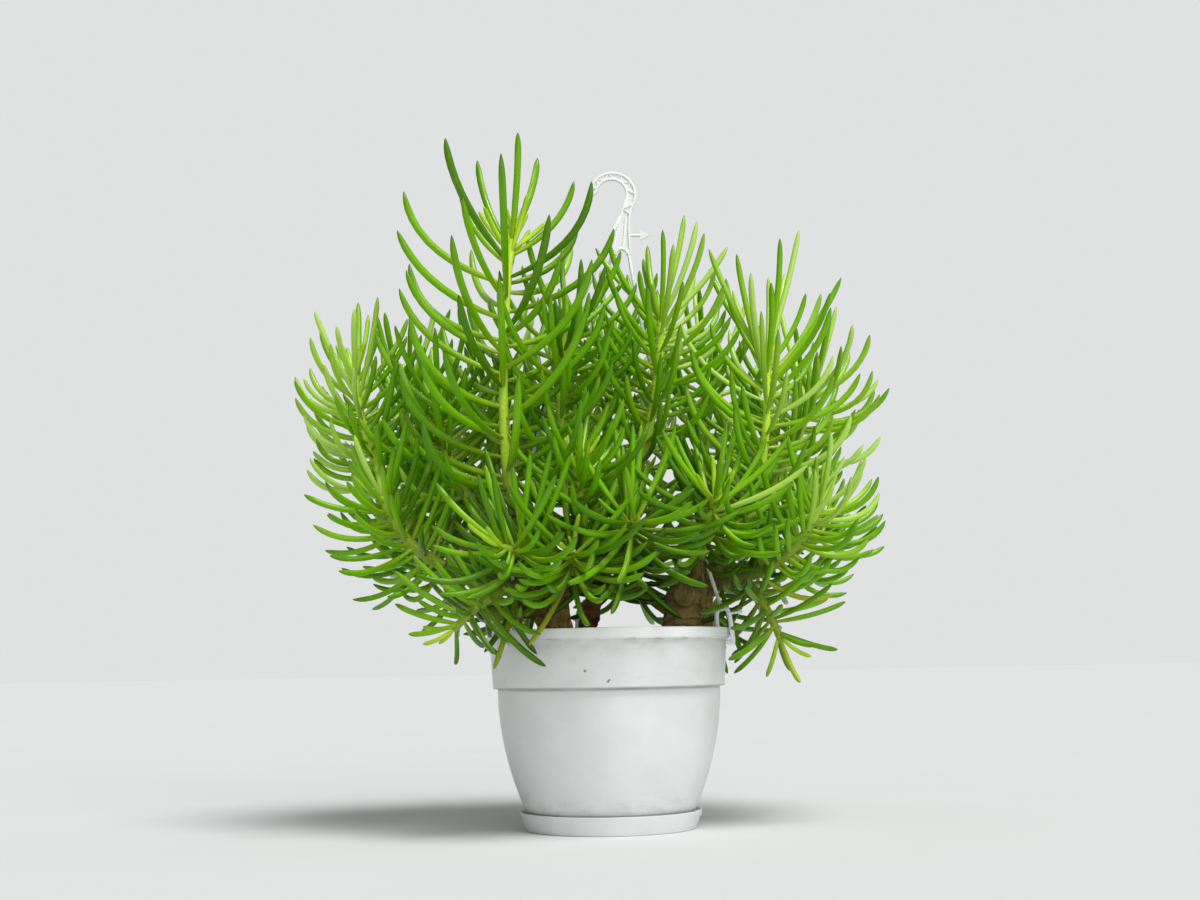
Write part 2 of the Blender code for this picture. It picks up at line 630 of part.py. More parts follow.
def build_hanger(material):
    """Hook and shoulder as one flat plate, with the straps and clips fused to it."""
    cx, cz = HOOK_CENTRE
    outer = [round_point(cx, cz, HOOK_OUTER, angle) for angle in range(190, -31, -20)]
    inner = [round_point(cx - 0.001, cz + 0.001, HOOK_INNER, angle) for angle in range(-10, 171, 20)]
    shoulder = [
        (0.0305, 0.6000), (0.0295, 0.5860), (0.0303, 0.5600), (0.0255, 0.5600), (0.0240, 0.5635),
        (0.0210, 0.5655), (0.0175, 0.5645), (0.0155, 0.5600), (0.0095, 0.5600), (0.0150, 0.5820),
        (0.0190, 0.6000), (0.0215, 0.6080)]
    outline = outer + shoulder + inner
    curve = bpy.data.curves.new("hook_outline", "CURVE")
    curve.dimensions = "2D"
    curve.fill_mode = "BOTH"
    curve.extrude = HANGER_THICKNESS / 2
    spline = curve.splines.new("POLY")
    spline.use_cyclic_u = True
    spline.points.add(len(outline) - 1)
    for point, (x, z) in zip(spline.points, outline):
        point.co = (x, z, 0, 1)
    guide = add_object("hook_outline", curve, cutters)
    guide.matrix_world = Matrix.Translation((0, HANGER_Y, 0)) @ Matrix.Rotation(math.pi / 2, 4, "X")
    mesh = evaluated_mesh(guide, "hook_plate")
    bpy.data.objects.remove(guide)
    bm = bmesh.new()
    bm.from_mesh(mesh)
    bmesh.ops.remove_doubles(bm, verts=bm.verts, dist=0.00001)
    bmesh.ops.recalc_face_normals(bm, faces=bm.faces)
    bm.to_mesh(mesh)
    bm.free()
    pieces = [add_object("hook_plate", mesh, cutters)]
    barb = [Vector((x, HANGER_Y, 0.580)) for x in (0.0270, 0.0405, 0.0410, 0.0500)]
    pieces.append(tube_object("barb", barb, [0.0013, 0.0013, 0.0040, 0.0008], 0))
    for side in CLIP_ANGLES:
        line = strap_line(side)
        pieces.append(tube_object("strap_" + side, line, [STRAP_RADIUS] * len(line), 0))
        fork, tab = clip_lines(side)
        pieces.append(tube_object("fork_" + side, fork, [CLIP_RADIUS] * len(fork), 0))
        pieces.append(tube_object("tab_" + side, tab, [CLIP_RADIUS * 0.8] * 2, 0))
    return fuse("hanger", pieces, material)


def build_trunk(trunk, material):
    line = TRUNKS[trunk]
    pieces = [tube_object(trunk + "_bole", [Vector(p[:3]) for p in line], [p[3] for p in line], 2)]
    for shoot in SHOOTS:
        if SHOOTS[shoot][0] == trunk:
            pieces.append(tube_object(shoot + "_branch", *branch_line(shoot)))
    return fuse(trunk, pieces, material)


def build_shoot(shoot, leaves, material):
    pieces = [tube_object(shoot + "_stem", *stem_line(shoot))]
    pieces += [leaf_object(f"{shoot}_leaf_{k}", controls) for k, controls in enumerate(leaves)]
    return fuse(shoot, pieces, material)


def main():
    clear_scene()
    white = make_material("white_plastic", (0.78, 0.79, 0.78), 0.42)
    build_pot(white)
    build_saucer(white)
    build_soil(make_material("soil", (0.045, 0.032, 0.022), 0.95))
    build_hanger(make_material("hanger_plastic", (0.82, 0.83, 0.82), 0.35))
    bark = make_material("bark", (0.20, 0.12, 0.055), 0.9)
    green = make_material("leaf", (0.13, 0.34, 0.02), 0.38)
    crowd = Crowd()
    for side in CLIP_ANGLES:
        line = strap_line(side)
        crowd.add("hanger", capsules_of(line, [STRAP_RADIUS] * len(line)))
        for piece in clip_lines(side):
            crowd.add("hanger", capsules_of(piece, [CLIP_RADIUS] * len(piece)))
    shoulder = [Vector((0.022, HANGER_Y, 0.560)), Vector((0.024, HANGER_Y, 0.605))]
    crowd.add("hanger", capsules_of(shoulder, [0.012, 0.009]))
    hook = Vector((HOOK_CENTRE[0], HANGER_Y, HOOK_CENTRE[1]))
    crowd.add("hanger", capsules_of([hook, hook + Vector((0, 0, 0.004))], [HOOK_OUTER + 0.002] * 2))
    for low, high, radius in FREE_SPACES:
        crowd.add("hanger", capsules_of([Vector(low), Vector(high)], [radius, radius]))
    for trunk, line in TRUNKS.items():
        crowd.add(trunk, capsules_of([Vector(p[:3]) for p in line], [p[3] for p in line]))
    for shoot in SHOOTS:
        crowd.add(SHOOTS[shoot][0] + "_" + shoot, capsules_of(*branch_line(shoot)))
        crowd.add(shoot + "_stem", capsules_of(*stem_line(shoot)))
    grown = grow_leaves(crowd)
    for trunk in TRUNKS:
        build_trunk(trunk, bark)
    for shoot in SHOOTS:
        build_shoot(shoot, grown[shoot], green)
    print("leaves", sum(len(leaves) for leaves in grown.values()), {s: len(v) for s, v in grown.items()})


main()
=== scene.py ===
"""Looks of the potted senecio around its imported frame. Metres, +Z up, the front of the plant faces -Y."""

import math
import random

import bmesh
import bpy
import numpy as np
from mathutils import Matrix, Vector, noise


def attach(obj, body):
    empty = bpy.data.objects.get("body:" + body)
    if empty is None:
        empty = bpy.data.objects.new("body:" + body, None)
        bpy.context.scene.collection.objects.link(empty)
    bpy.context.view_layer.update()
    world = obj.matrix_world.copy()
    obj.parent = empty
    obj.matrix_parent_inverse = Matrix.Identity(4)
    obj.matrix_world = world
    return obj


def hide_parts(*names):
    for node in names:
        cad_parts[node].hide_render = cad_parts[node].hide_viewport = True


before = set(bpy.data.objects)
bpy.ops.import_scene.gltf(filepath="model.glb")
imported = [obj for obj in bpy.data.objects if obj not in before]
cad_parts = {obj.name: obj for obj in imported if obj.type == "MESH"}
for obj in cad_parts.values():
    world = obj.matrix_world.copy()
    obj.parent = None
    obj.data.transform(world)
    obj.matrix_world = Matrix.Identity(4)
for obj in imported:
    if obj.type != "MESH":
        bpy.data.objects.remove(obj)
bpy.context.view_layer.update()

# Pot: a turned shell with a lip, a straight band below it, a step and a bowl down to the foot
RIM_TOP = 0.185
LIP_RADIUS = 0.115
LIP_BOTTOM = 0.1745
BAND_TOP_RADIUS = 0.1122
BAND_FOOT_RADIUS = 0.1096
BAND_FOOT = 0.1310
BOWL_RADIUS = 0.1052
BOWL_FOOT_RADIUS = 0.0800
BOWL_FOOT = 0.0176
WALL = 0.0022
NECK_RADIUS = 0.0765
BEAD_RADIUS = 0.0785
BEAD_TOP = 0.0115
POT_UNDERSIDE = 0.0050
POT_FLOOR = 0.0075
DRAIN_COUNT = 5
DRAIN_RADIUS = 0.005
DRAIN_CIRCLE = 0.045
SAUCER_TOP = 0.0170
SAUCER_TOP_RADIUS = 0.0860
SAUCER_FOOT_RADIUS = 0.0800
SAUCER_WALL = 0.0020
ROUND_STEPS = 144

# Specks on the pot: place and radius
POT_SPECKS = (
    ((-0.0212, -0.1079, 0.1468), 0.0017), ((-0.0010, -0.1098, 0.1372), 0.0015),
    ((0.0003, -0.1098, 0.1387), 0.0012), ((-0.0378, -0.0750, 0.0345), 0.0018),
    ((-0.0370, -0.0750, 0.0320), 0.0014), ((0.0812, 0.0580, 0.0905), 0.0014),
    ((-0.0700, 0.0810, 0.1150), 0.0016), ((0.0300, 0.1054, 0.1550), 0.0015),
)

# The saucer's first lug and first rib: middle and size
LUG_PLACE = (0.0807, 0, 0.0133)
LUG_SIZE = (0.0076, 0.022, 0.0024)
RIB_PLACE = (0.045, 0, 0.0029)
RIB_SIZE = (0.050, 0.003, 0.0036)

# Soil: its clods are height and fineness, and it rises at each trunk
SOIL_EDGE = 0.1700
SOIL_MIDDLE = 0.1780
SOIL_BOTTOM = 0.1500
SOIL_RADIUS = 0.1095
SOIL_ROWS = 56
SOIL_SIDES = 150
SOIL_CLODS = ((0.0030, 45), (0.0018, 130), (0.0009, 330))
TRUNK_RISE = 0.0035
GRAIN_COUNT = 420
GRAIN_REACH = 0.107

# Hanger. The angles of the hook's ribs are on its outer and inner rail by turns. A strap has its start's
# x and z, then the point halfway along it. Free spaces are rods that every leaf stays out of.
HANGER_Y = 0.040
HANGER_THICKNESS = 0.0046
HOOK_CENTRE = (0.0125, 0.6220)
HOOK_OUTER = 0.0240
HOOK_INNER = 0.0145
HOOK_SHIFT = 0.001
RAIL_WIDTH = 0.0022
WEB_THICKNESS = 0.0014
RIB_SECTION = (0.0009, 0.0038, 0.0002)
RIB_ANGLES = (166, 150, 134, 116, 100, 82, 66, 50, 34, 16, 2)
RIB_ENDS = (HOOK_OUTER - 0.0012, HOOK_INNER + 0.0010)
STRAP_SECTION = (0.0034, 0.0018, 0.0005)
SPINE_SECTION = (0.0012, 0.0034)
FORK_SECTION = (0.0046, 0.0050)
TAB_SECTION = (0.0026, 0.0062)
END_SIZE = (0.0026, 0.0026, 0.0024)
JOINT_SIZE = (0.0036, 0.0036, 0.0044)
STRAP_RADIUS = 0.0021
CLIP_RADIUS = 0.0026
CLIP_ANGLES = {"left": -144, "right": -15, "back": 105}
STRAPS = {
    "left": (0.0225, 0.604, -0.056, -0.010, 0.400),
    "right": (0.0272, 0.566, 0.056, 0.012, 0.400),
    "back": (0.0135, 0.566, -0.028, 0.088, 0.400),
}
FREE_SPACES = (
    ((0.011, 0.037, 0.498), (0.011, 0.037, 0.524), 0.019),
    ((0.0115, 0.040, 0.600), (0.0115, 0.040, 0.630), 0.024),
)

# The hanger's shoulder below the hook in x and z: its edges, the arch between their feet, the ribs and
# spine on its web, and the barb at its right with its stem
SHOULDER_RIGHT = ((0.0316, 0.6050), (0.0301, 0.5970), (0.0295, 0.5860), (0.0300, 0.5700), (0.0303, 0.5600))
SHOULDER_ARCH = ((0.0255, 0.5600), (0.0252, 0.5618), (0.0240, 0.5635), (0.0226, 0.5647), (0.0210, 0.5652),
                 (0.0192, 0.5650), (0.0175, 0.5640), (0.0163, 0.5622), (0.0155, 0.5600))
SHOULDER_LEFT = ((0.0095, 0.5600), (0.0118, 0.5700), (0.0150, 0.5820), (0.0190, 0.5990), (0.0220, 0.6090))
SHOULDER_RIBS = (((0.0335, 0.6125), (0.0235, 0.6080)), ((0.0240, 0.6065), (0.0305, 0.6010)))
SHOULDER_SPINE = ((0.0250, 0.5990), (0.0235, 0.5800), (0.0215, 0.5665))
BARB = ((0.0395, 0.5850), (0.0497, 0.5800), (0.0395, 0.5750))
BARB_THICKNESS = 0.0026
BARB_STEM = ((0.0285, 0.5800), (0.0420, 0.5800))
BARB_STEM_WIDTH = 0.0029

# The spaces in front of the right clip and the hanger's shoulder, which added leaves leave open
KEPT_VIEWS = (
    ((0.118, -0.040, 0.196), (0.114, -0.160, 0.200), 0.013),
    ((0.022, 0.030, 0.560), (0.020, -0.110, 0.526), 0.017),
)

# The leaves of the frame: their size and how each finds a clear place
LEAF_RADIUS = 0.0039
LONG_LEAF = 0.122
LONG_LEAF_RINGS = (0.0, 0.22, 0.56, 0.86, 1.0)
SHORT_LEAF_RINGS = (0.0, 0.3, 0.74, 1.0)
FREE_FROM = 0.07
OUTWARD_SHARE = 0.64
UPWARD_SHARE = 0.44
YOUNG_FROM = 0.78
LEADER_YOUNG_FROM = 0.84
GOLDEN_ANGLE = math.radians(137.508)
CLEARANCE = 0.0005
TURNS = (0, 12, -12, 24, -24, 38, -38, 52, -52, 66, -66)
LIFTS = (0, -14, 14)
SHRINKS = (1.0, 0.82, 0.64)
STEM_RADIUS = 0.0053
STEM_TIP_RADIUS = 0.0028
STEM_SHARES = (0.0, 0.08, 0.4, 0.72, 1.0)
BRANCH_SHARES = (0.0, 0.45, 0.9, 1.0)
BRANCH_RADIUS = 0.0062
JOIN_GAP = 0.0006

# Leaves as they show: round, and with more of them between those of the frame
ROUND_RADIUS = 0.0028
LEADER_RADIUS = 0.0034
LEAF_SIDES = 10
LEAF_PLACES = (0, 0.03, 0.08, 0.15, 0.24, 0.34, 0.45, 0.56, 0.67, 0.77, 0.85, 0.91, 0.95, 0.977, 0.993, 1)
FINE_PLACES = (0, 0.17, 0.34, 0.5, 0.67, 0.84, 1)
FINE_CLEARANCE = 0.0002
FITTED_RADIUS = 0.0027
FULL_LENGTH = 0.085
SLIM = 0.95
EXTRA_TURNS = (0, 10, -10, 20, -20, 32, -32, 45, -45)
EXTRA_LIFTS = (0, -12, 12)
EXTRA_SHRINKS = (1.0, 0.86, 0.7, 0.55)
EXTRA_SHARE = 1.7
FEWER_EXTRAS = {"shoot_leader": 0.4, "shoot_right_tall": 1.0}
# Painted light on the leaves at the back: the y where it starts and the depth over which it grows full
PALE_FROM = -0.05
PALE_DEPTH = 0.13
TIP_LEAVES = 8
CROWN_LEAVES = 10
STEM_ROWS = 72
STEM_SIDES = 14
OLD_SCARS = 26

# Upright leaves at the tips: how many and how long. Leaves low on the wood: how many.
SPRAYS = {
    "shoot_right_tall": (9, 0.130), "shoot_right_outer": (5, 0.108), "shoot_middle_tall": (5, 0.108),
    "shoot_left_inner": (4, 0.098), "shoot_left_tall": (4, 0.092), "shoot_inner": (4, 0.100),
    "shoot_right_back": (5, 0.112), "shoot_left_back": (3, 0.096),
}
LOW_LEAVES = {
    "shoot_right_low": 9, "shoot_right_outer": 7, "shoot_right_rear_low": 7, "shoot_right_drooping": 6,
    "shoot_rear_right": 5, "shoot_rear_low": 9, "shoot_rear_right_drooping": 8,
    "shoot_rear_left_drooping": 8, "shoot_front_right": 6, "shoot_front_far_right": 8, "shoot_inner": 4,
    "shoot_middle_tall": 5, "shoot_centre_back": 6, "shoot_rear": 6, "shoot_left_drooping": 9,
    "shoot_front_left": 8, "shoot_left_low": 5, "shoot_front_middle": 6,
}
YELLOWED = ("shoot_front_middle", "shoot_front_left", "shoot_left_drooping", "shoot_right_drooping",
            "shoot_rear_low", "shoot_right_low", "shoot_rear_left_drooping")

# Points of each trunk's bole with its radius there
TRUNKS = {
    "trunk_left": (
        (-0.047, -0.030, 0.110, 0.010), (-0.049, -0.031, 0.165, 0.0145), (-0.050, -0.030, 0.195, 0.0160),
        (-0.051, -0.029, 0.222, 0.0150), (-0.053, -0.028, 0.240, 0.0100)),
    "trunk_middle": (
        (-0.026, 0.012, 0.110, 0.007), (-0.023, 0.010, 0.165, 0.0095), (-0.018, 0.008, 0.198, 0.0100),
        (-0.008, 0.006, 0.228, 0.0100), (-0.002, 0.006, 0.248, 0.0070)),
    "trunk_right": (
        (0.074, 0.008, 0.110, 0.014), (0.075, 0.009, 0.165, 0.0220), (0.077, 0.010, 0.196, 0.0245),
        (0.082, 0.013, 0.224, 0.0220), (0.085, 0.015, 0.244, 0.0130)),
}

# Leafy shoots: trunk, point halfway along the axis and growing tip, then the share of the axis that
# is bare wood, the number of leaves, the length of the longest leaves and of those at the tip, how far
# they curl up, and the turn of the first leaf in degrees
SHOOTS = {
    "shoot_leader": ("trunk_left", (-0.090, -0.075, 0.331), (-0.083, -0.060, 0.566),
        0.36, 41, 0.146, 0.084, 0.80, 276),
    "shoot_right_tall": ("trunk_right", (0.137, -0.034, 0.292), (0.156, -0.030, 0.447),
        0.34, 32, 0.118, 0.104, 0.76, 85),
    "shoot_left_tall": ("trunk_left", (-0.186, -0.012, 0.292), (-0.240, -0.016, 0.442),
        0.42, 32, 0.100, 0.060, 0.72, 205),
    "shoot_middle_tall": ("trunk_middle", (0.040, -0.025, 0.366), (0.056, -0.020, 0.486),
        0.36, 26, 0.112, 0.098, 0.74, 230),
    "shoot_inner": ("trunk_middle", (-0.039, -0.040, 0.362), (-0.031, -0.045, 0.472),
        0.36, 24, 0.108, 0.084, 0.74, 120),
    "shoot_front_middle": ("trunk_left", (-0.034, -0.090, 0.232), (-0.030, -0.140, 0.252),
        0.50, 18, 0.092, 0.060, 0.48, 30),
    "shoot_front_left": ("trunk_left", (-0.056, -0.100, 0.240), (-0.094, -0.148, 0.256),
        0.50, 18, 0.094, 0.060, 0.42, 80),
    "shoot_front_right": ("trunk_middle", (0.012, -0.075, 0.258), (0.026, -0.128, 0.278),
        0.50, 18, 0.096, 0.064, 0.40, 60),
    "shoot_front_upright": ("trunk_middle", (-0.022, -0.075, 0.275), (-0.024, -0.095, 0.335),
        0.48, 18, 0.094, 0.070, 0.66, 0),
    "shoot_front_far_right": ("trunk_right", (0.090, -0.060, 0.262), (0.098, -0.108, 0.300),
        0.46, 18, 0.094, 0.064, 0.45, 20),
    "shoot_left_inner": ("trunk_left", (-0.134, -0.030, 0.318), (-0.157, -0.020, 0.406),
        0.38, 22, 0.104, 0.082, 0.72, 50),
    "shoot_left_back": ("trunk_left", (-0.165, 0.032, 0.300), (-0.197, 0.040, 0.432),
        0.38, 22, 0.104, 0.078, 0.72, 330),
    "shoot_right_outer": ("trunk_right", (0.172, 0.040, 0.335), (0.207, 0.040, 0.424),
        0.38, 23, 0.108, 0.080, 0.72, 220),
    "shoot_right_low": ("trunk_right", (0.156, -0.050, 0.243), (0.202, -0.052, 0.303),
        0.44, 20, 0.090, 0.060, 0.68, 35),
    "shoot_left_low": ("trunk_left", (-0.156, -0.052, 0.248), (-0.208, -0.058, 0.312),
        0.46, 17, 0.088, 0.060, 0.40, 155),
    "shoot_right_drooping": ("trunk_right", (0.128, -0.012, 0.228), (0.162, -0.028, 0.170),
        0.48, 12, 0.082, 0.052, 0.25, 250),
    "shoot_left_drooping": ("trunk_left", (-0.090, -0.100, 0.222), (-0.138, -0.104, 0.184),
        0.52, 12, 0.072, 0.050, 0.30, 110),
    "shoot_centre_back": ("trunk_middle", (0.002, 0.060, 0.370), (0.007, 0.066, 0.472),
        0.36, 19, 0.104, 0.084, 0.72, 100),
    "shoot_right_back": ("trunk_right", (0.100, 0.075, 0.350), (0.106, 0.090, 0.443),
        0.36, 18, 0.106, 0.090, 0.72, 5),
    "shoot_left_rear": ("trunk_left", (-0.095, 0.055, 0.340), (-0.112, 0.080, 0.440),
        0.38, 17, 0.104, 0.080, 0.72, 45),
    "shoot_rear": ("trunk_middle", (-0.024, 0.110, 0.310), (-0.016, 0.152, 0.395),
        0.38, 16, 0.104, 0.080, 0.70, 75),
    "shoot_rear_right": ("trunk_right", (0.122, 0.085, 0.272), (0.166, 0.122, 0.340),
        0.42, 15, 0.102, 0.074, 0.68, 55),
    "shoot_rear_left": ("trunk_left", (-0.125, 0.080, 0.262), (-0.172, 0.116, 0.330),
        0.44, 15, 0.102, 0.072, 0.68, 90),
    "shoot_rear_low": ("trunk_middle", (0.020, 0.092, 0.240), (0.032, 0.166, 0.262),
        0.48, 13, 0.096, 0.060, 0.40, 20),
    "shoot_right_rear_low": ("trunk_right", (0.160, 0.040, 0.248), (0.214, 0.060, 0.285),
        0.44, 12, 0.098, 0.062, 0.45, 60),
    "shoot_left_rear_low": ("trunk_left", (-0.136, 0.030, 0.244), (-0.200, 0.052, 0.272),
        0.44, 12, 0.096, 0.060, 0.45, 105),
    "shoot_rear_left_drooping": ("trunk_left", (-0.068, 0.090, 0.228), (-0.096, 0.142, 0.190),
        0.50, 10, 0.084, 0.052, 0.30, 35),
    "shoot_rear_right_drooping": ("trunk_right", (0.092, 0.094, 0.228), (0.112, 0.146, 0.194),
        0.50, 10, 0.084, 0.052, 0.30, 70),
}

# Stubs of pruned branches: trunk, start, end and radius
STUBS = (
    ("trunk_left", (-0.058, -0.045, 0.205), (-0.110, -0.088, 0.199), 0.0075),
    ("trunk_right", (0.080, -0.004, 0.214), (0.072, -0.020, 0.216), 0.0110),
    ("trunk_middle", (-0.010, 0.004, 0.222), (-0.026, -0.012, 0.236), 0.0048),
)
SKIN_VOXEL = 0.0014
OLD_WOOD = 0.35
RING_HEIGHT = 0.0010
RING_BEND = 0.006
CRACK_HEIGHT = 0.0004
KNOB_HEIGHT = 0.0032

# Bark: name, light, dark and warm colour
BARKS = {
    "trunk_left": ("bark_ringed", (0.44, 0.250, 0.060), (0.13, 0.068, 0.016), (0.60, 0.40, 0.120)),
    "trunk_middle": ("bark_red", (0.25, 0.100, 0.026), (0.070, 0.030, 0.010), (0.34, 0.155, 0.045)),
    "trunk_right": ("bark_pale", (0.43, 0.280, 0.100), (0.13, 0.080, 0.028), (0.58, 0.43, 0.19)),
}

# Shoots that carry dried leaves at their foot
DRIED = ("shoot_front_middle", "shoot_front_left", "shoot_front_right", "shoot_left_drooping",
         "shoot_right_drooping", "shoot_left_low", "shoot_right_low", "shoot_rear_low",
         "shoot_front_far_right", "shoot_leader")
DRIED_EACH = 2
DRIED_RADIUS = 0.0022
DRIED_CREASES = (0.30, 0.45, 1.0, 0.45, 0.30, 0.45, 1.0, 0.45)

# Camera: focal length in pixels of a 1200 x 900 image, place, upward tilt and roll
IMAGE_WIDTH = 1200
FOCAL_PIXELS = 1670.0
CAMERA_PLACE = (-0.0045, -1.600, 0.152)
CAMERA_TILT = math.radians(7.33)
CAMERA_ROLL = math.radians(1.0)

# Studio: each light's name, direction, size in degrees and strength, and the surround's share of light
LIGHTS = (
    ("overhead", (0.30, -0.45, 1.0), 26, 2.60),
    ("front", (0.5, -1.0, 0.35), 50, 0.88),
)
SURROUND_LIGHT = 0.42


# Plant geometry. Every curve is a quadratic arc through three control points.


def arc_point(controls, t):
    a, b, c = controls
    return a * (1 - t) ** 2 + b * 2 * t * (1 - t) + c * t * t


def arc_tangent(controls, t):
    a, b, c = controls
    return ((b - a) * (1 - t) + (c - b) * t).normalized()


def shoot_axis(shoot):
    """Control points of a shoot's axis, from inside its trunk's crown to its growing tip."""
    trunk, halfway, tip = SHOOTS[shoot][:3]
    start = Vector(TRUNKS[trunk][-2][:3])
    return start, Vector(halfway) * 2 - (start + Vector(tip)) / 2, Vector(tip)


def leaf_radius(t):
    """Share of the frame's leaf radius at t along it."""
    swell = min(t / 0.4, 1.0)
    return (0.42 + 0.58 * swell * (2 - swell)) * max(1 - t ** 5, 0.0) ** 0.75


def leaf_rings(controls):
    length = (controls[1] - controls[0]).length + (controls[2] - controls[1]).length
    return LONG_LEAF_RINGS if length > LONG_LEAF else SHORT_LEAF_RINGS


def leaf_controls(root, stem_way, turn, lean, length, curl):
    """Control points of a leaf that leaves the stem at lean degrees from it and curls up towards its tip."""
    side = stem_way.orthogonal().normalized()
    side.rotate(Matrix.Rotation(turn, 3, stem_way))
    lean = math.radians(lean)
    first = (stem_way * math.cos(lean) + side * math.sin(lean)).normalized()
    last = (first * (1 - curl) + Vector((0, 0, 1)) * curl * 1.25).normalized()
    bend = root + first * length * OUTWARD_SHARE
    return root, bend, bend + last * length * UPWARD_SHARE


def capsules_of(points, radii):
    """The rods between neighbouring points: starts, ends and radii."""
    places = np.array([tuple(p) for p in points])
    widths = np.array(radii)
    return places[:-1], places[1:], np.maximum(widths[:-1], widths[1:])


def rod_distances(starts, ends, other_starts, other_ends):
    """Distance between each rod of one set and each of another."""
    a = starts[:, None, :]
    b = other_starts[None, :, :]
    along = (ends - starts)[:, None, :]
    other_along = (other_ends - other_starts)[None, :, :]
    between = a - b
    aa = (along * along).sum(-1)
    bb = (other_along * other_along).sum(-1)
    ab = (along * other_along).sum(-1)
    a_way = (along * between).sum(-1)
    b_way = (other_along * between).sum(-1)
    spread = np.maximum(aa * bb - ab * ab, 1e-16)
    s = np.clip((ab * b_way - a_way * bb) / spread, 0, 1)
    t = np.clip((ab * s + b_way) / bb, 0, 1)
    s = np.clip((ab * t - a_way) / aa, 0, 1)
    return np.linalg.norm(between + along * s[..., None] - other_along * t[..., None], axis=-1)


class Crowd:
    """The rods that are already in place, each with the name of the piece that it belongs to."""

    def __init__(self, clearance):
        self.starts = np.zeros((0, 3))
        self.ends = np.zeros((0, 3))
        self.radii = np.zeros(0)
        self.owners = np.zeros(0, dtype=object)
        self.clearance = clearance

    def add(self, owner, rods):
        starts, ends, radii = rods
        self.starts = np.vstack([self.starts, starts])
        self.ends = np.vstack([self.ends, ends])
        self.radii = np.concatenate([self.radii, radii])
        self.owners = np.concatenate([self.owners, np.full(len(radii), owner, dtype=object)])

    def clear(self, rods, ignored=()):
        """Whether the rods keep their distance from every piece but the ignored ones."""
        starts, ends, radii = rods
        middle = (starts[0] + ends[-1]) / 2
        reach = np.linalg.norm(ends[-1] - starts[0]) / 2 + 0.06
        near = np.linalg.norm((self.starts + self.ends) / 2 - middle, axis=1) < reach
        for owner in ignored:
            near &= self.owners != owner
        if not near.any():
            return True
        gaps = rod_distances(starts, ends, self.starts[near], self.ends[near])
        return bool((gaps > radii[:, None] + self.radii[near][None, :] + self.clearance).all())


def clear_of_pot(controls, radius, steps):
    points = [arc_point(controls, k / steps) for k in range(steps + 1)]
    return all(p.z > RIM_TOP + radius or math.hypot(p.x, p.y) > LIP_RADIUS + radius + 0.001 for p in points)


def leaf_plan(shoot, number, count, draw):
    """Where leaf number of count sits on its shoot, and its turn, lean, length and curl as planned."""
    bare, _, longest, tip_length, curl, first_turn = SHOOTS[shoot][3:]
    share = (number + 0.5) / count
    height = bare + 0.03 + (0.96 - bare) * share ** 0.85
    young_from = LEADER_YOUNG_FROM if shoot == "shoot_leader" else YOUNG_FROM
    young = max(0.0, (share - young_from) / (1 - young_from))
    turn = math.radians(first_turn) + number * GOLDEN_ANGLE + draw.uniform(-0.2, 0.2)
    lean = 84 - 12 * share - 50 * young + draw.uniform(-7, 7)
    length = longest + (tip_length - longest) * young
    return height, turn, lean, length * draw.uniform(0.88, 1.06), curl * draw.uniform(0.8, 1.15)


def tries(shoot, height, plan, turns, lifts, shrinks):
    """Control points of a leaf as planned, and then turned, leant or shortened step by step."""
    axis = shoot_axis(shoot)
    root, way = arc_point(axis, height), arc_tangent(axis, height)
    turn, lean, length, curl = plan
    for shrink in shrinks:
        for lift in lifts:
            for extra in turns:
                turned_on = turn + math.radians(extra)
                yield leaf_controls(root, way, turned_on, lean + lift, length * shrink, curl)


def fit_leaf(shoot, height, plan, crowd):
    """Control points and rods of the first try at a leaf of the frame that is clear, or None."""
    for controls in tries(shoot, height, plan, TURNS, LIFTS, SHRINKS):
        if not clear_of_pot(controls, LEAF_RADIUS, 8):
            continue
        rings = leaf_rings(controls)
        points = [arc_point(controls, t) for t in rings]
        radii = [LEAF_RADIUS * leaf_radius(t) for t in rings]
        free = capsules_of([arc_point(controls, FREE_FROM), *points[1:]], radii)
        whole = capsules_of(points, radii)
        if crowd.clear(free, (shoot + "_stem",)) and crowd.clear(whole, (shoot, shoot + "_stem")):
            return controls, free
    return None


def grow_leaves(crowd):
    """Control points of every leaf of the frame, shoot by shoot."""
    grown = {}
    for shoot in SHOOTS:
        draw = random.Random(shoot)
        count = SHOOTS[shoot][4]
        grown[shoot] = []
        for number in range(count):
            height, *plan = leaf_plan(shoot, number, count, draw)
            fitted = fit_leaf(shoot, height, plan, crowd)
            if fitted:
                controls, rods = fitted
                grown[shoot].append(controls)
                crowd.add(shoot, rods)
    return grown


def stem_line(shoot):
    """Points and radii of a shoot's green stem, from its joint with the wood to its growing tip."""
    bare = SHOOTS[shoot][3]
    axis = shoot_axis(shoot)
    points = [arc_point(axis, bare + (1 - bare) * share) for share in STEM_SHARES]
    points[0] += arc_tangent(axis, bare) * JOIN_GAP
    return points, [STEM_RADIUS + (STEM_TIP_RADIUS - STEM_RADIUS) * share ** 1.3 for share in STEM_SHARES]


def branch_line(shoot):
    """Points and radii of the woody branch that carries a shoot."""
    bare = SHOOTS[shoot][3]
    axis = shoot_axis(shoot)
    radii = [BRANCH_RADIUS + (STEM_RADIUS - BRANCH_RADIUS) * share for share in BRANCH_SHARES]
    return [arc_point(axis, bare * share) for share in BRANCH_SHARES], radii


def clip_frame(side):
    """Function from (distance from the axis, height, sideways) to a point, at one clip."""
    angle = math.radians(CLIP_ANGLES[side])
    out = Vector((math.cos(angle), math.sin(angle), 0))
    along = Vector((-math.sin(angle), math.cos(angle), 0))
    return lambda radius, height, aside=0.0: out * radius + along * aside + Vector((0, 0, height))


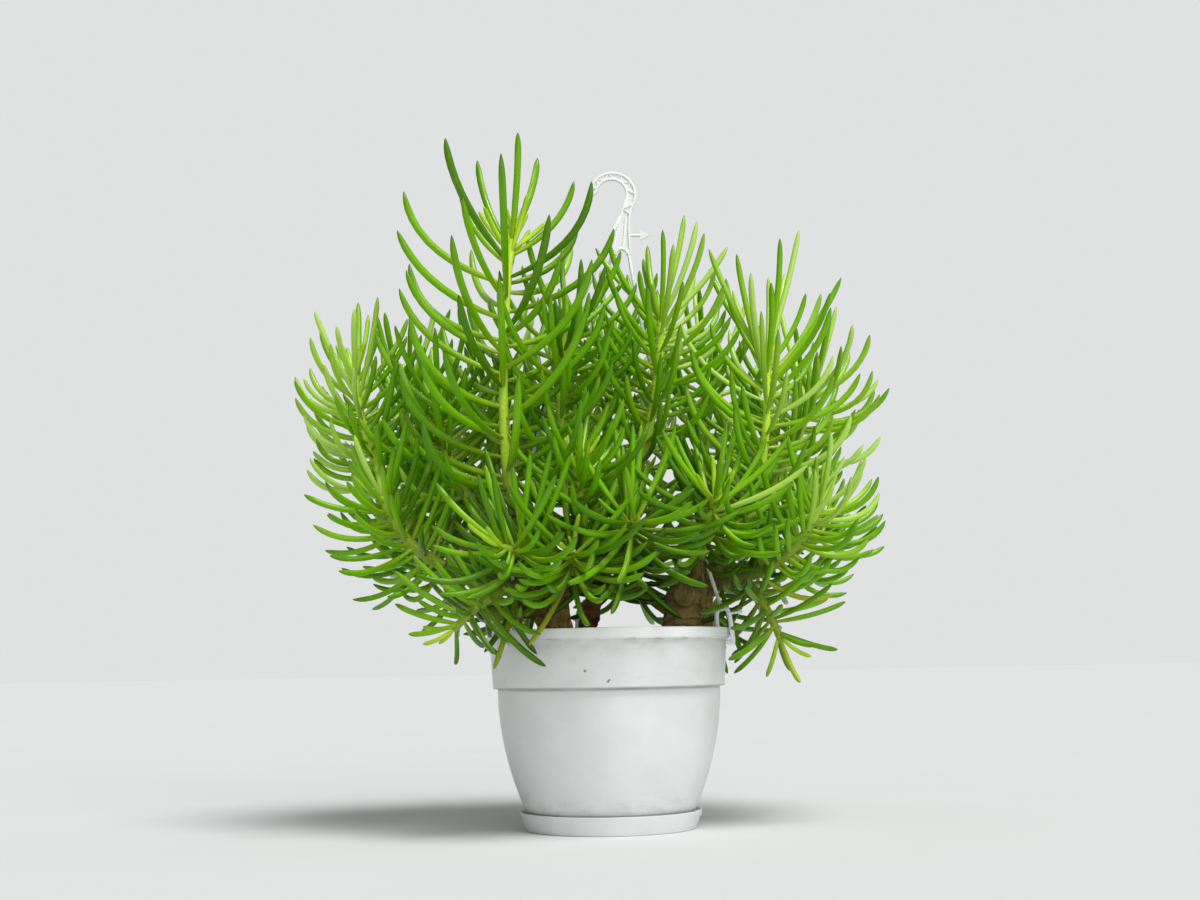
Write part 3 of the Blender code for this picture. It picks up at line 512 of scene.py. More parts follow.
def strap_controls(side):
    """Control points of a strap, from the hanger's shoulder to the fork over the rim."""
    start_x, start_z, *bulge = STRAPS[side]
    start = Vector((start_x, HANGER_Y, start_z))
    end = clip_frame(side)(0.1100, RIM_TOP + 0.0190)
    return start, Vector(bulge) * 2 - (start + end) / 2, end


def clip_lines(side):
    """The fork that straddles the rim, with its toe under the lip, and the thumb tab beside it."""
    at = clip_frame(side)
    top = RIM_TOP + 0.0180
    fork = [at(0.1064, RIM_TOP - 0.006), at(0.1056, RIM_TOP + 0.011), at(0.1082, top), at(0.1130, top),
            at(0.1174, RIM_TOP + 0.0125), at(0.1206, LIP_BOTTOM - 0.003), at(0.1160, LIP_BOTTOM - 0.003)]
    tab = [at(0.1165, RIM_TOP + 0.0125), at(0.1275, RIM_TOP + 0.0140)]
    return fork, tab


def frame_crowd(clearance):
    """The rods of everything that leaves keep clear of."""
    crowd = Crowd(clearance)
    for side in CLIP_ANGLES:
        line = [arc_point(strap_controls(side), k / 6) for k in range(7)]
        crowd.add("hanger", capsules_of(line, [STRAP_RADIUS] * len(line)))
        for piece in clip_lines(side):
            crowd.add("hanger", capsules_of(piece, [CLIP_RADIUS] * len(piece)))
    shoulder = [Vector((0.022, HANGER_Y, 0.560)), Vector((0.024, HANGER_Y, 0.605))]
    crowd.add("hanger", capsules_of(shoulder, [0.012, 0.009]))
    hook = Vector((HOOK_CENTRE[0], HANGER_Y, HOOK_CENTRE[1]))
    crowd.add("hanger", capsules_of([hook, hook + Vector((0, 0, 0.004))], [HOOK_OUTER + 0.002] * 2))
    for low, high, radius in FREE_SPACES:
        crowd.add("hanger", capsules_of([Vector(low), Vector(high)], [radius, radius]))
    for trunk, line in TRUNKS.items():
        crowd.add(trunk, capsules_of([Vector(p[:3]) for p in line], [p[3] for p in line]))
    for shoot in SHOOTS:
        crowd.add(SHOOTS[shoot][0] + "_" + shoot, capsules_of(*branch_line(shoot)))
        crowd.add(shoot + "_stem", capsules_of(*stem_line(shoot)))
    return crowd


# Leaves as they show


def round_share(t):
    """Share of a round leaf's full radius at t along it: thin at the root, full past halfway, pointed."""
    swell = min(t / 0.42, 1.0)
    body = 0.46 + 0.54 * swell * (2 - swell)
    past = max(t - 0.78, 0.0) / 0.22
    return body * max(1 - past ** 2.6, 0.0) ** 0.75


def fine_rods(controls, radius):
    points = [arc_point(controls, max(t, FREE_FROM)) for t in FINE_PLACES]
    return capsules_of(points, [radius * max(round_share(t), 0.25) for t in FINE_PLACES])


def fit_extra(shoot, height, plan, radius, crowd, on_wood=False):
    """Control points and rods of an added leaf that is clear of all but what carries it, or None."""
    carriers = (shoot + "_stem", SHOOTS[shoot][0] + "_" + shoot) if on_wood else (shoot + "_stem",)
    for controls in tries(shoot, height, plan, EXTRA_TURNS, EXTRA_LIFTS, EXTRA_SHRINKS):
        rods = fine_rods(controls, radius)
        if clear_of_pot(controls, radius, 6) and crowd.clear(rods, carriers):
            return controls, rods
    return None


def clip(value, top=1.0):
    return min(max(value, 0.0), top)


class Leaf:
    """One leaf as it shows: its arc, full radius, and the tone and age that its colour reads; the tone is
    random and carries painted light.
    """

    def __init__(self, controls, radius, draw, age=0.0):
        self.controls = controls
        self.radius = radius
        tip = controls[2]
        # Painted light: leaves at the back, at either side and high at the right are made paler, as lit and
        # backlit leaves
        pale = clip((tip.y - PALE_FROM) / PALE_DEPTH) * clip((tip.z - 0.24) / 0.14)
        outer = clip((abs(tip.x + 0.02) - 0.13) / 0.12, 0.8) * clip((tip.z - 0.22) / 0.12)
        high = clip((tip.z - 0.38) / 0.12, 0.9) * clip((tip.x - 0.02) / 0.04)
        self.tone = 0.55 * draw.random() + 0.45 * max(pale, outer, high)
        self.age = age
        self.sway = draw.uniform(-1.0, 1.0) * 0.0009


def leaf_thickness(shoot, controls, draw):
    length = (controls[1] - controls[0]).length + (controls[2] - controls[1]).length
    full = LEADER_RADIUS if shoot == "shoot_leader" else ROUND_RADIUS
    return full * min(1.0, max(length / FULL_LENGTH, 0.3)) ** 0.35 * draw.uniform(0.93, 1.07)


def dress_shoots():
    """Every leaf of every shoot as it shows."""
    grown = grow_leaves(frame_crowd(CLEARANCE))
    crowd = frame_crowd(FINE_CLEARANCE)
    for low, high, radius in KEPT_VIEWS:
        crowd.add("hanger", capsules_of([Vector(low), Vector(high)], [radius, radius]))
    leaves = {}
    for shoot in SHOOTS:
        draw = random.Random(shoot + "_looks")
        leaves[shoot] = [Leaf(c, leaf_thickness(shoot, c, draw), draw) for c in grown[shoot]]
        for leaf in leaves[shoot]:
            crowd.add(shoot, fine_rods(leaf.controls, leaf.radius))

    def add(shoot, height, plan, draw, slim=1.0, on_wood=False, young=(0.0, FITTED_RADIUS, None)):
        """Adds a leaf if it finds room. young is its age, the radius it is fitted with and its own."""
        age, fitted, radius = young
        found = fit_extra(shoot, height, plan, fitted, crowd, on_wood)
        if found:
            controls, rods = found
            radius = radius or leaf_thickness(shoot, controls, draw) * slim
            leaves[shoot].append(Leaf(controls, radius, draw, age))
            crowd.add(shoot, rods)

    for shoot in SHOOTS:
        draw = random.Random(shoot + "_tip")
        for number in range(TIP_LEAVES):
            share = (number + 0.5) / TIP_LEAVES
            plan = (number * GOLDEN_ANGLE + 1.0, 34 - 26 * share, 0.040 - 0.024 * share, 0.3)
            add(shoot, 0.955 + 0.045 * share, plan, draw, young=(-1.0, 0.0014, 0.0022 - 0.0008 * share))
    draw = random.Random("crown")
    for number in range(CROWN_LEAVES):
        height = draw.uniform(0.935, 0.99)
        plan = (number * GOLDEN_ANGLE + 2.2, draw.uniform(18, 48), draw.uniform(0.032, 0.060), 0.25)
        add("shoot_leader", height, plan, draw, young=(-0.8, 0.0018, 0.0024))
    for shoot, (count, length) in SPRAYS.items():
        draw = random.Random(shoot + "_spray")
        for number in range(count):
            height = draw.uniform(0.90, 0.985)
            lean = draw.uniform(14, 34)
            plan = (number * GOLDEN_ANGLE + 0.4, lean, length * draw.uniform(0.85, 1.08), 0.35)
            add(shoot, height, plan, draw)
    for shoot in SHOOTS:
        draw = random.Random(shoot + "_between")
        count = round(SHOOTS[shoot][4] * FEWER_EXTRAS.get(shoot, EXTRA_SHARE))
        for number in range(count):
            height, turn, lean, length, curl = leaf_plan(shoot, number, count, draw)
            height = max(height - 0.012, SHOOTS[shoot][3] + 0.01)
            add(shoot, height, (turn + 1.2, lean, length * draw.uniform(0.74, 0.98), curl), draw, SLIM)
    for shoot, count in LOW_LEAVES.items():
        draw = random.Random(shoot + "_low")
        for number in range(count):
            height = SHOOTS[shoot][3] * draw.uniform(0.50, 0.97)
            lean, length = draw.uniform(62, 100), draw.uniform(0.055, 0.090)
            plan = (number * GOLDEN_ANGLE, lean, length, draw.uniform(0.1, 0.6))
            add(shoot, height, plan, draw, SLIM, on_wood=True)
    draw = random.Random("yellowed")
    for shoot in YELLOWED:
        oldest = min(leaves[shoot], key=lambda leaf: leaf.controls[2].z)
        oldest.age = draw.uniform(0.3, 0.6)
    return leaves


class Form:
    """Points and faces of one piece, with the values that its material reads at each point."""

    def __init__(self):
        self.points = []
        self.faces = []
        self.spaces = []
        self.facts = []
        self.count = 0

    def add(self, points, faces, spaces, facts):
        self.points.extend(points)
        self.faces.extend([tuple(i + self.count for i in face) for face in faces])
        self.spaces.extend(spaces)
        self.facts.extend(facts)
        self.count += len(points)

    def tube(self, places, radii, ups, acrosses, sides, shares, facts):
        """A closed tube whose ends are single points. radii is one number or one per side for each place."""
        angles = np.arange(sides) * 2 * math.pi / sides
        turns = np.stack([np.cos(angles), np.sin(angles)], 1)
        radii = np.array(radii, float).reshape(len(places), -1)[1:-1]
        rings = ups[1:-1, None] * turns[None, :, :1] + acrosses[1:-1, None] * turns[None, :, 1:]
        points = places[1:-1, None] + rings * radii[..., None]
        rows = len(places) - 2
        points = [tuple(places[0]), *map(tuple, points.reshape(-1, 3)), tuple(places[-1])]
        spaces = [(0, 0, shares[0])]
        spaces += [(c, s, shares[row + 1]) for row in range(rows) for c, s in turns]
        spaces.append((0, 0, shares[-1]))
        last = len(points) - 1
        faces = [(0, 1 + (k + 1) % sides, 1 + k) for k in range(sides)]
        for row in range(rows - 1):
            low = 1 + row * sides
            for k in range(sides):
                after = (k + 1) % sides
                faces.append((low + k, low + after, low + sides + after, low + sides + k))
        low = 1 + (rows - 1) * sides
        faces += [(last, low + k, low + (k + 1) % sides) for k in range(sides)]
        self.add(points, faces, spaces, [facts] * len(points))

    def object(self, name, material):
        mesh = bpy.data.meshes.new(name)
        mesh.from_pydata(self.points, [], self.faces)
        mesh.shade_smooth()
        for title, values in (("leaf_space", self.spaces), ("leaf_facts", self.facts)):
            layer = mesh.attributes.new(title, "FLOAT_VECTOR", "POINT")
            layer.data.foreach_set("vector", np.array(values, np.float32).reshape(-1))
        mesh.materials.append(material)
        return link(name, mesh)


def arc_frames(controls, shares):
    """Places on an arc and two directions across it at each: up in the plane of its bend, and out of it."""
    ways = [arc_tangent(controls, t) for t in shares]
    across = ways[0].cross(ways[-1])
    if across.length < 0.01:
        across = ways[len(ways) // 2].orthogonal()
    across.normalize()
    places = np.array([tuple(arc_point(controls, t)) for t in shares])
    ups = np.array([tuple(across.cross(way).normalized()) for way in ways])
    return places, ups, np.tile(np.array(tuple(across)), (len(shares), 1))


def add_leaf(form, leaf):
    places, ups, acrosses = arc_frames(leaf.controls, LEAF_PLACES)
    sway = np.array([leaf.sway * math.sin(math.pi * t) * (1 + t) for t in LEAF_PLACES])
    places = places + acrosses * sway[:, None]
    radii = [leaf.radius * round_share(t) for t in LEAF_PLACES]
    form.tube(places, radii, ups, -acrosses, LEAF_SIDES, LEAF_PLACES, (leaf.tone, leaf.age, 0.0))


def add_stem(form, shoot, leaves):
    """The green stem with a low swelling under each leaf and the scars of fallen ones."""
    bare = SHOOTS[shoot][3]
    upward = [k / (STEM_ROWS - 1) for k in range(STEM_ROWS)]
    shares = [bare + (1.0 - bare) * k / (STEM_ROWS - 1) for k in range(STEM_ROWS)]
    places, ups, acrosses = arc_frames(shoot_axis(shoot), shares)
    angles = np.arange(STEM_SIDES) * 2 * math.pi / STEM_SIDES
    base = np.array([STEM_RADIUS + (STEM_TIP_RADIUS - STEM_RADIUS) * k ** 1.3 for k in upward])
    radii = np.repeat(base[:, None], STEM_SIDES, 1)
    draw = random.Random(shoot + "_scars")
    marks = []
    for leaf in leaves:
        root, bend = np.array(tuple(leaf.controls[0])), np.array(tuple(leaf.controls[1]))
        row = int(np.argmin(np.linalg.norm(places - root, axis=1)))
        way = bend - root
        marks.append((places[row], math.atan2(float(way @ -acrosses[row]), float(way @ ups[row])), 0.0007))
    for number in range(OLD_SCARS):
        row = draw.randrange(2, STEM_ROWS // 2)
        marks.append((places[row], draw.uniform(-math.pi, math.pi), draw.uniform(0.0002, 0.0005)))
    for place, angle, height in marks:
        gap = np.linalg.norm(places - place, axis=1)
        turn = np.abs((angles[None, :] - angle + math.pi) % (2 * math.pi) - math.pi)
        radii += height * np.exp(-(gap[:, None] / 0.0026) ** 2 - (turn / 0.55) ** 2)
    radii[-2:] *= 0.8
    form.tube(places, radii, ups, -acrosses, STEM_SIDES, upward, (draw.random(), 0.0, 1.0))


# Materials


class Nodes:
    """A material's node tree with short calls for adding and joining nodes."""

    def __init__(self, name):
        self.material = bpy.data.materials.new(name)
        self.material.use_nodes = True
        self.tree = self.material.node_tree
        self.shader = self.tree.nodes["Principled BSDF"]

    def add(self, kind, **settings):
        node = self.tree.nodes.new("ShaderNode" + kind)
        for key, value in settings.items():
            setattr(node, key, value)
        return node

    def value(self, socket, thing):
        """Sets a socket to a number or colour, or joins another node's output to it."""
        if isinstance(thing, bpy.types.NodeSocket):
            self.tree.links.new(thing, socket)
        else:
            socket.default_value = thing

    def feed(self, node, *things, **named):
        """Gives the node's inputs their values, the first ones in order and others by name."""
        for socket, thing in zip(node.inputs, things):
            self.value(socket, thing)
        for title, thing in named.items():
            self.value(node.inputs[title.replace("_", " ")], thing)
        return node.outputs[0]

    def split(self, vector):
        """The X, Y and Z of a vector."""
        node = self.add("SeparateXYZ")
        self.feed(node, vector)
        return node.outputs

    def attribute(self, title):
        node = self.add("Attribute", attribute_type="GEOMETRY", attribute_name=title)
        return self.split(node.outputs["Vector"])

    def place(self):
        return self.add("TexCoord").outputs["Object"]

    def stretch(self, vector, scale):
        return self.feed(self.add("Mapping"), Vector=vector, Scale=scale)

    def noise(self, vector, scale, detail=3.0, roughness=0.55, distortion=0.0):
        return self.feed(self.add("TexNoise"), Vector=vector, Scale=scale, Detail=detail,
                         Roughness=roughness, Distortion=distortion)

    def warp(self, vector, scale, amount):
        """The vector moved about by a noise, so that what is laid on it winds."""
        node = self.add("TexNoise")
        self.feed(node, Vector=vector, Scale=scale, Detail=2.0)
        moved = self.add("VectorMath", operation="MULTIPLY_ADD")
        return self.feed(moved, node.outputs["Color"], (amount, amount, amount), vector)

    def spot(self, vector, centre, radius):
        """1 within a small round spot on the surface, 0 outside it."""
        node = self.add("VectorMath", operation="DISTANCE")
        self.feed(node, vector, centre)
        return self.span(node.outputs["Value"], radius, radius * 0.6)

    def math(self, operation, a, b=0.0, c=0.0):
        return self.feed(self.add("Math", operation=operation), a, b, c)

    def both(self, *shares):
        """The product of the shares."""
        product = shares[0]
        for share in shares[1:]:
            product = self.math("MULTIPLY", product, share)
        return product

    def span(self, source, low, high, to_low=0.0, to_high=1.0):
        node = self.add("MapRange", interpolation_type="SMOOTHSTEP")
        return self.feed(node, source, low, high, to_low, to_high)

    def ramp(self, source, stops):
        node = self.add("ValToRGB")
        ramp = node.color_ramp
        while len(ramp.elements) < len(stops):
            ramp.elements.new(0.5)
        for element, (place, colour) in zip(ramp.elements, stops):
            element.position = place
            element.color = (*colour, 1.0)
        return self.feed(node, source)

    def mix(self, share, a, b):
        node = self.add("Mix", data_type="RGBA")
        for number, thing in ((0, share), (6, a), (7, b)):
            self.value(node.inputs[number], (*thing, 1.0) if isinstance(thing, tuple) else thing)
        return node.outputs[2]

    def bump(self, height, strength, distance, before=None):
        node = self.add("Bump")
        if before:
            self.feed(node, Normal=before)
        return self.feed(node, Strength=strength, Distance=distance, Height=height)

    def finish(self, colour, roughness, normal, **constants):
        self.feed(self.shader, Base_Color=colour, Roughness=roughness, Normal=normal, **constants)
        return self.material


def leaf_material():
    """Glossy succulent green: yellow-green at the root, a dark tip, and painted light: a paler painted
    highlight along the upper side, paler outer leaves, and painted shade on leaves and stems low in the
    crown.
    """
    n = Nodes("leaf_green")
    upper, aside, along = n.attribute("leaf_space")
    tone, age, kind = n.attribute("leaf_facts")
    place = n.place()
    lines = n.feed(n.add("CombineXYZ"), n.both(upper, 2.6), n.both(aside, 2.6),
                   n.math("MULTIPLY_ADD", tone, 37.0, n.both(along, 1.6)))
    streaks = n.noise(lines, 2.0, 4.0, 0.6)
    patches = n.noise(place, 60.0, 2.0)
    grain = n.noise(place, 420.0, 2.0)
    green = n.ramp(along, [(0.0, (0.46, 0.56, 0.070)), (0.10, (0.340, 0.560, 0.012)),
                           (0.32, (0.210, 0.510, 0.002)), (0.75, (0.160, 0.445, 0.001)),
                           (0.96, (0.105, 0.300, 0.001)), (1.0, (0.060, 0.100, 0.005))])
    fresh = n.ramp(along, [(0.0, (0.50, 0.60, 0.10)), (0.30, (0.400, 0.640, 0.022)),
                           (0.75, (0.320, 0.600, 0.012)), (0.96, (0.200, 0.390, 0.008)),
                           (1.0, (0.090, 0.140, 0.010))])
    lime = n.ramp(along, [(0.0, (0.58, 0.74, 0.070)), (0.40, (0.50, 0.76, 0.035)),
                          (1.0, (0.30, 0.54, 0.012))])
    # Pale greens for a high tone are painted light on lit and backlit leaves; dark green for a low tone is
    # random
    colour = n.mix(n.span(tone, 0.42, 0.80, 0.0, 0.90), green, fresh)
    colour = n.mix(n.span(tone, 0.56, 0.95, 0.0, 0.80), colour, (0.54, 0.80, 0.19))
    colour = n.mix(n.span(tone, 0.36, 0.0, 0.0, 0.85), colour, (0.052, 0.180, 0.0005))
    colour = n.mix(n.span(age, 0.0, -0.8), colour, lime)
    # Painted highlight: a paler streak along each leaf's upper side, and a narrower, brighter gloss streak
    # on top of it
    light = n.both(n.span(upper, 0.55, 0.98), n.span(streaks, 0.35, 0.7), 0.40)
    colour = n.mix(light, colour, (0.48, 0.70, 0.07))
    painted_gloss = n.both(n.span(upper, 0.78, 0.97), n.span(streaks, 0.38, 0.60),
                   n.both(n.span(along, 0.06, 0.22), n.span(along, 0.97, 0.80)), 0.55)
    colour = n.mix(painted_gloss, colour, (0.62, 0.84, 0.26))
    colour = n.mix(n.span(streaks, 0.42, 0.22, 0.0, 0.40), colour, (0.080, 0.240, 0.0005))
    colour = n.mix(n.span(streaks, 0.60, 0.80, 0.0, 0.35), colour, (0.35, 0.54, 0.015))
    colour = n.mix(n.span(patches, 0.60, 0.75, 0.0, 0.30), colour, (0.36, 0.48, 0.010))
    x, y, height = n.split(place)
    reach = n.math("SQRT", n.math("ADD", n.math("POWER", x, 2.0), n.math("POWER", y, 2.0)))
    # Painted shade: leaves low in the crown, over the pot, are darkened as the canopy's shade
    inside = n.both(n.span(reach, 0.190, 0.095), n.span(height, 0.34, 0.22), 0.82)
    colour = n.mix(inside, colour, (0.020, 0.066, 0.0005))
    colour = n.mix(n.span(age, 0.0, 1.0), colour, (0.52, 0.46, 0.03))
    stem = n.ramp(along, [(0.0, (0.28, 0.32, 0.050)), (0.16, (0.42, 0.62, 0.045)),
                          (0.6, (0.53, 0.78, 0.048)), (1.0, (0.56, 0.82, 0.045))])
    stem = n.mix(n.span(n.noise(place, 260.0, 3.0), 0.50, 0.72, 0.0, 0.40), stem, (0.57, 0.76, 0.16))
    scars = n.noise(n.stretch(place, (230, 230, 520)), 1.0, 3.0, 0.6)
    stem = n.mix(n.span(scars, 0.54, 0.68, 0.0, 0.36), stem, (0.17, 0.23, 0.025))
    # Painted shade: stems low in the crown are darkened as the canopy's shade
    stem = n.mix(n.span(height, 0.36, 0.23, 0.0, 0.75), stem, (0.17, 0.25, 0.020))
    colour = n.mix(kind, colour, stem)
    return n.finish(colour, n.span(grain, 0.3, 0.7, 0.17, 0.27), n.bump(streaks, 0.25, 0.0006),
                    Specular_IOR_Level=0.36, Specular_Tint=(0.88, 1.0, 0.55, 1.0), Subsurface_Weight=0.08,
                    Subsurface_Radius=(0.6, 1.0, 0.05), Subsurface_Scale=0.003)


def shade(colour, share):
    return tuple(min(share * c, 1.0) for c in colour)


def bark_material(name, light, dark, warm):
    """Old wood with lengthwise cracks and cross rings that turns smoother and greener along its branches,
    with painted shadow darkening it high up under the leaves.
    """
    n = Nodes(name)
    share = n.attribute("leaf_facts")[0]
    place = n.place()
    height = n.split(place)[2]
    wound = n.warp(n.warp(place, 22.0, 0.030), 90.0, 0.006)
    rings = n.noise(n.stretch(wound, (50, 50, 300)), 1.0, 5.0, 0.62, 0.4)
    cracks = n.noise(n.stretch(wound, (260, 260, 60)), 1.0, 5.0, 0.65, 0.4)
    patches = n.noise(place, 48.0, 3.0)
    grain = n.noise(place, 600.0, 3.0)
    colour = n.ramp(rings, [(0.36, dark), (0.52, light), (0.68, warm)])
    colour = n.mix(n.span(cracks, 0.46, 0.34, 0.0, 0.85), colour, shade(dark, 0.30))
    colour = n.mix(n.span(cracks, 0.56, 0.70, 0.0, 0.45), colour, shade(light, 1.6))
    colour = n.mix(n.span(patches, 0.48, 0.68, 0.0, 0.45), colour, shade(light, 1.2))
    colour = n.mix(n.span(patches, 0.46, 0.34, 0.0, 0.6), colour, shade(dark, 0.7))
    # Painted shadow: the wood is darkened high up, where the canopy's shade falls
    colour = n.mix(n.span(height, 0.206, 0.232, 0.0, 0.60), colour, shade(dark, 0.45))
    twig = n.mix(n.span(cracks, 0.35, 0.62), (0.155, 0.125, 0.030), (0.33, 0.28, 0.085))
    twig = n.mix(n.span(rings, 0.55, 0.66, 0.0, 0.6), twig, (0.105, 0.082, 0.020))
    colour = n.mix(n.span(share, 0.08, 0.40), colour, twig)
    colour = n.mix(n.span(share, 0.45, 0.95, 0.0, 0.85), colour, (0.26, 0.32, 0.050))
    normal = n.bump(cracks, 0.40, 0.0012, n.bump(rings, 0.75, 0.0020, n.bump(grain, 0.25, 0.0004)))
    return n.finish(colour, n.span(grain, 0.3, 0.7, 0.70, 0.92), normal, Specular_IOR_Level=0.3)


def pot_material(name, grime_and_painted_light):
    """Moulded white plastic: satin, faintly mottled, with blotchy grime on the band, greyer towards the
    foot, a brown stain at the lip's lower edge and a few specks; painted shade under the lip, mottled like
    grime, a painted shadow line in the step, and a painted highlight on the lip.
    """
    n = Nodes(name)
    place = n.place()
    height = n.split(place)[2]
    cloud = n.noise(place, 26.0, 4.0)
    blotch = n.noise(n.stretch(place, (1, 1, 2.4)), 60.0, 5.0, 0.65)
    grain = n.noise(place, 1500.0, 2.0)
    lines = n.noise(n.stretch(place, (6, 6, 900)), 1.0, 2.0)
    colour = n.mix(n.span(cloud, 0.35, 0.65), (0.730, 0.745, 0.742), (0.770, 0.785, 0.785))
    if grime_and_painted_light:
        under_lip = n.span(height, LIP_BOTTOM + 0.0004, LIP_BOTTOM - 0.0004)
        # Painted shade under the lip, mottled like grime
        below = n.both(n.span(height, LIP_BOTTOM - 0.016, LIP_BOTTOM - 0.001), under_lip)
        # Painted shadow line in the step at the band's foot
        painted_step_shadow = n.both(n.span(height, BAND_FOOT - 0.0030, BAND_FOOT - 0.0002),
                      n.span(height, BAND_FOOT + 0.0022, BAND_FOOT + 0.0004))
        band = n.both(n.span(height, BAND_FOOT, BAND_FOOT + 0.004), under_lip)
        foot = n.span(height, 0.045, 0.018)
        edge = n.both(n.span(height, LIP_BOTTOM - 0.0008, LIP_BOTTOM + 0.0002),
                      n.span(height, LIP_BOTTOM + 0.0016, LIP_BOTTOM + 0.0006))
        for share, other, tint in (
            (band, n.span(blotch, 0.50, 0.80, 0.0, 0.22), (0.50, 0.50, 0.47)),
            # painted shade under the lip, then the painted shadow line in the step
            (below, n.span(blotch, 0.30, 0.75, 0.10, 0.42), (0.46, 0.46, 0.42)),
            (painted_step_shadow, n.span(cloud, 0.3, 0.7, 0.50, 0.80), (0.27, 0.27, 0.24)),
            (foot, n.span(blotch, 0.45, 0.7, 0.0, 0.30), (0.44, 0.42, 0.36)),
            (edge, n.span(blotch, 0.48, 0.66, 0.0, 0.65), (0.33, 0.24, 0.14)),
        ):
            colour = n.mix(n.both(share, other), colour, tint)
        # Painted highlight: the lip is painted brighter, as lit from above
        lip = n.span(height, RIM_TOP - 0.0095, RIM_TOP - 0.0080, 0.0, 0.8)
        colour = n.mix(lip, colour, (0.90, 0.905, 0.90))
        for centre, radius in POT_SPECKS:
            colour = n.mix(n.both(n.spot(place, centre, radius), 0.8), colour, (0.21, 0.13, 0.035))
    normal = n.bump(lines, 0.05, 0.0003, n.bump(grain, 0.08, 0.0002, n.bump(cloud, 0.10, 0.0010)))
    return n.finish(colour, n.span(blotch, 0.3, 0.7, 0.36, 0.50), normal, Subsurface_Weight=0.05,
                    Subsurface_Scale=0.004, Coat_Weight=0.05)


def hanger_material():
    """Smooth white plastic with painted shade greying the web between its rails, which is also specked."""
    n = Nodes("hanger_white")
    place = n.place()
    _, y, height = n.split(place)
    cloud = n.noise(place, 60.0, 3.0)
    depth = n.math("ABSOLUTE", n.math("SUBTRACT", y, HANGER_Y))
    recess = n.both(n.span(depth, 0.0016, 0.0010), n.span(height, 0.55, 0.56))
    colour = n.mix(n.span(cloud, 0.35, 0.65), (0.94, 0.945, 0.94), (0.96, 0.965, 0.96))
    # Painted shade: the web between the rails is greyed
    colour = n.mix(n.both(recess, 0.35), colour, (0.72, 0.72, 0.70))
    specks = n.both(n.span(n.noise(place, 150.0, 2.0), 0.62, 0.72), recess, 0.30)
    colour = n.mix(specks, colour, (0.45, 0.40, 0.30))
    return n.finish(colour, n.span(cloud, 0.3, 0.7, 0.34, 0.44), n.bump(cloud, 0.10, 0.0006),
                    Subsurface_Weight=0.03, Subsurface_Scale=0.002)


def soil_material():
    """Dark crumbs with paler bits of bark."""
    n = Nodes("potting_soil")
    place = n.place()
    crumbs = n.feed(n.add("TexVoronoi", feature="F1"), Vector=place, Scale=420.0)
    mottle = n.noise(place, 210.0, 5.0, 0.7)
    colour = n.ramp(mottle, [(0.28, (0.012, 0.008, 0.005)), (0.50, (0.045, 0.029, 0.017)),
                             (0.66, (0.105, 0.068, 0.038)), (0.80, (0.21, 0.155, 0.095))])
    colour = n.mix(n.span(crumbs, 0.45, 0.75, 0.0, 0.6), colour, (0.010, 0.007, 0.005))
    normal = n.bump(crumbs, 0.7, 0.0012, n.bump(mottle, 0.6, 0.0015))
    return n.finish(colour, n.span(mottle, 0.3, 0.7, 0.82, 0.97), normal, Specular_IOR_Level=0.2)


def dry_material():
    """Shrivelled brown skin."""
    n = Nodes("dry_leaf")
    mottle = n.noise(n.place(), 260.0, 4.0, 0.7)
    colour = n.ramp(mottle, [(0.30, (0.070, 0.035, 0.012)), (0.55, (0.21, 0.115, 0.045)),
                             (0.75, (0.36, 0.24, 0.11))])
    return n.finish(colour, n.span(mottle, 0.3, 0.7, 0.65, 0.85), n.bump(mottle, 0.7, 0.0015))


def floor_material():
    """Matt pale board, hardly clouded."""
    n = Nodes("studio_floor")
    cloud = n.noise(n.place(), 3.0, 3.0)
    colour = n.mix(n.span(cloud, 0.35, 0.65), (0.678, 0.690, 0.687), (0.684, 0.696, 0.693))
    return n.finish(colour, n.span(cloud, 0.3, 0.7, 0.80, 0.90), n.bump(cloud, 0.005, 0.001),
                    Specular_IOR_Level=0.0)


# Pieces


def put(obj, slot, *nodes):
    """Rides the piece on the body and hides the nodes that it stands for; slot, its finish, is not used."""
    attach(obj, "root")
    if nodes:
        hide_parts(*nodes)
    return obj


def link(name, data):
    """A new object in the scene."""
    obj = bpy.data.objects.new(name, data)
    bpy.context.scene.collection.objects.link(obj)
    return obj


def add_mesh(name, mesh, material):
    """An object in one material, of a mesh or of a bmesh, which is then freed."""
    if isinstance(mesh, bmesh.types.BMesh):
        bm, mesh = mesh, bpy.data.meshes.new(name)
        bm.to_mesh(mesh)
        bm.free()
    mesh.materials.clear()
    mesh.materials.append(material)
    return link(name, mesh)


def evaluated_mesh(obj, name):
    bpy.context.view_layer.update()
    graph = bpy.context.evaluated_depsgraph_get()
    mesh = bpy.data.meshes.new_from_object(obj.evaluated_get(graph))
    mesh.name = name
    return mesh


def rounded(profile, radius, steps=4):
    """The profile with each inner corner rounded by up to radius."""
    points = [Vector(p) for p in profile]
    line = [tuple(points[0])]
    for before, corner, after in zip(points, points[1:], points[2:]):
        back, on = before - corner, after - corner
        cut = min(radius, back.length * 0.45, on.length * 0.45)
        turn = back.angle(on, math.pi)
        if turn > math.radians(172):
            line.append(tuple(corner))
            continue
        start, end = corner + back.normalized() * cut, corner + on.normalized() * cut
        for k in range(steps + 1):
            t = k / steps
            line.append(tuple(start * (1 - t) ** 2 + corner * 2 * t * (1 - t) + end * t * t))
    return [*line, tuple(points[-1])]


def smooth(obj, angle):
    """Shades the object smooth but for its corners sharper than angle."""
    obj.data.shade_smooth()
    obj.data.set_sharp_from_angle(angle=math.radians(angle))
    return obj


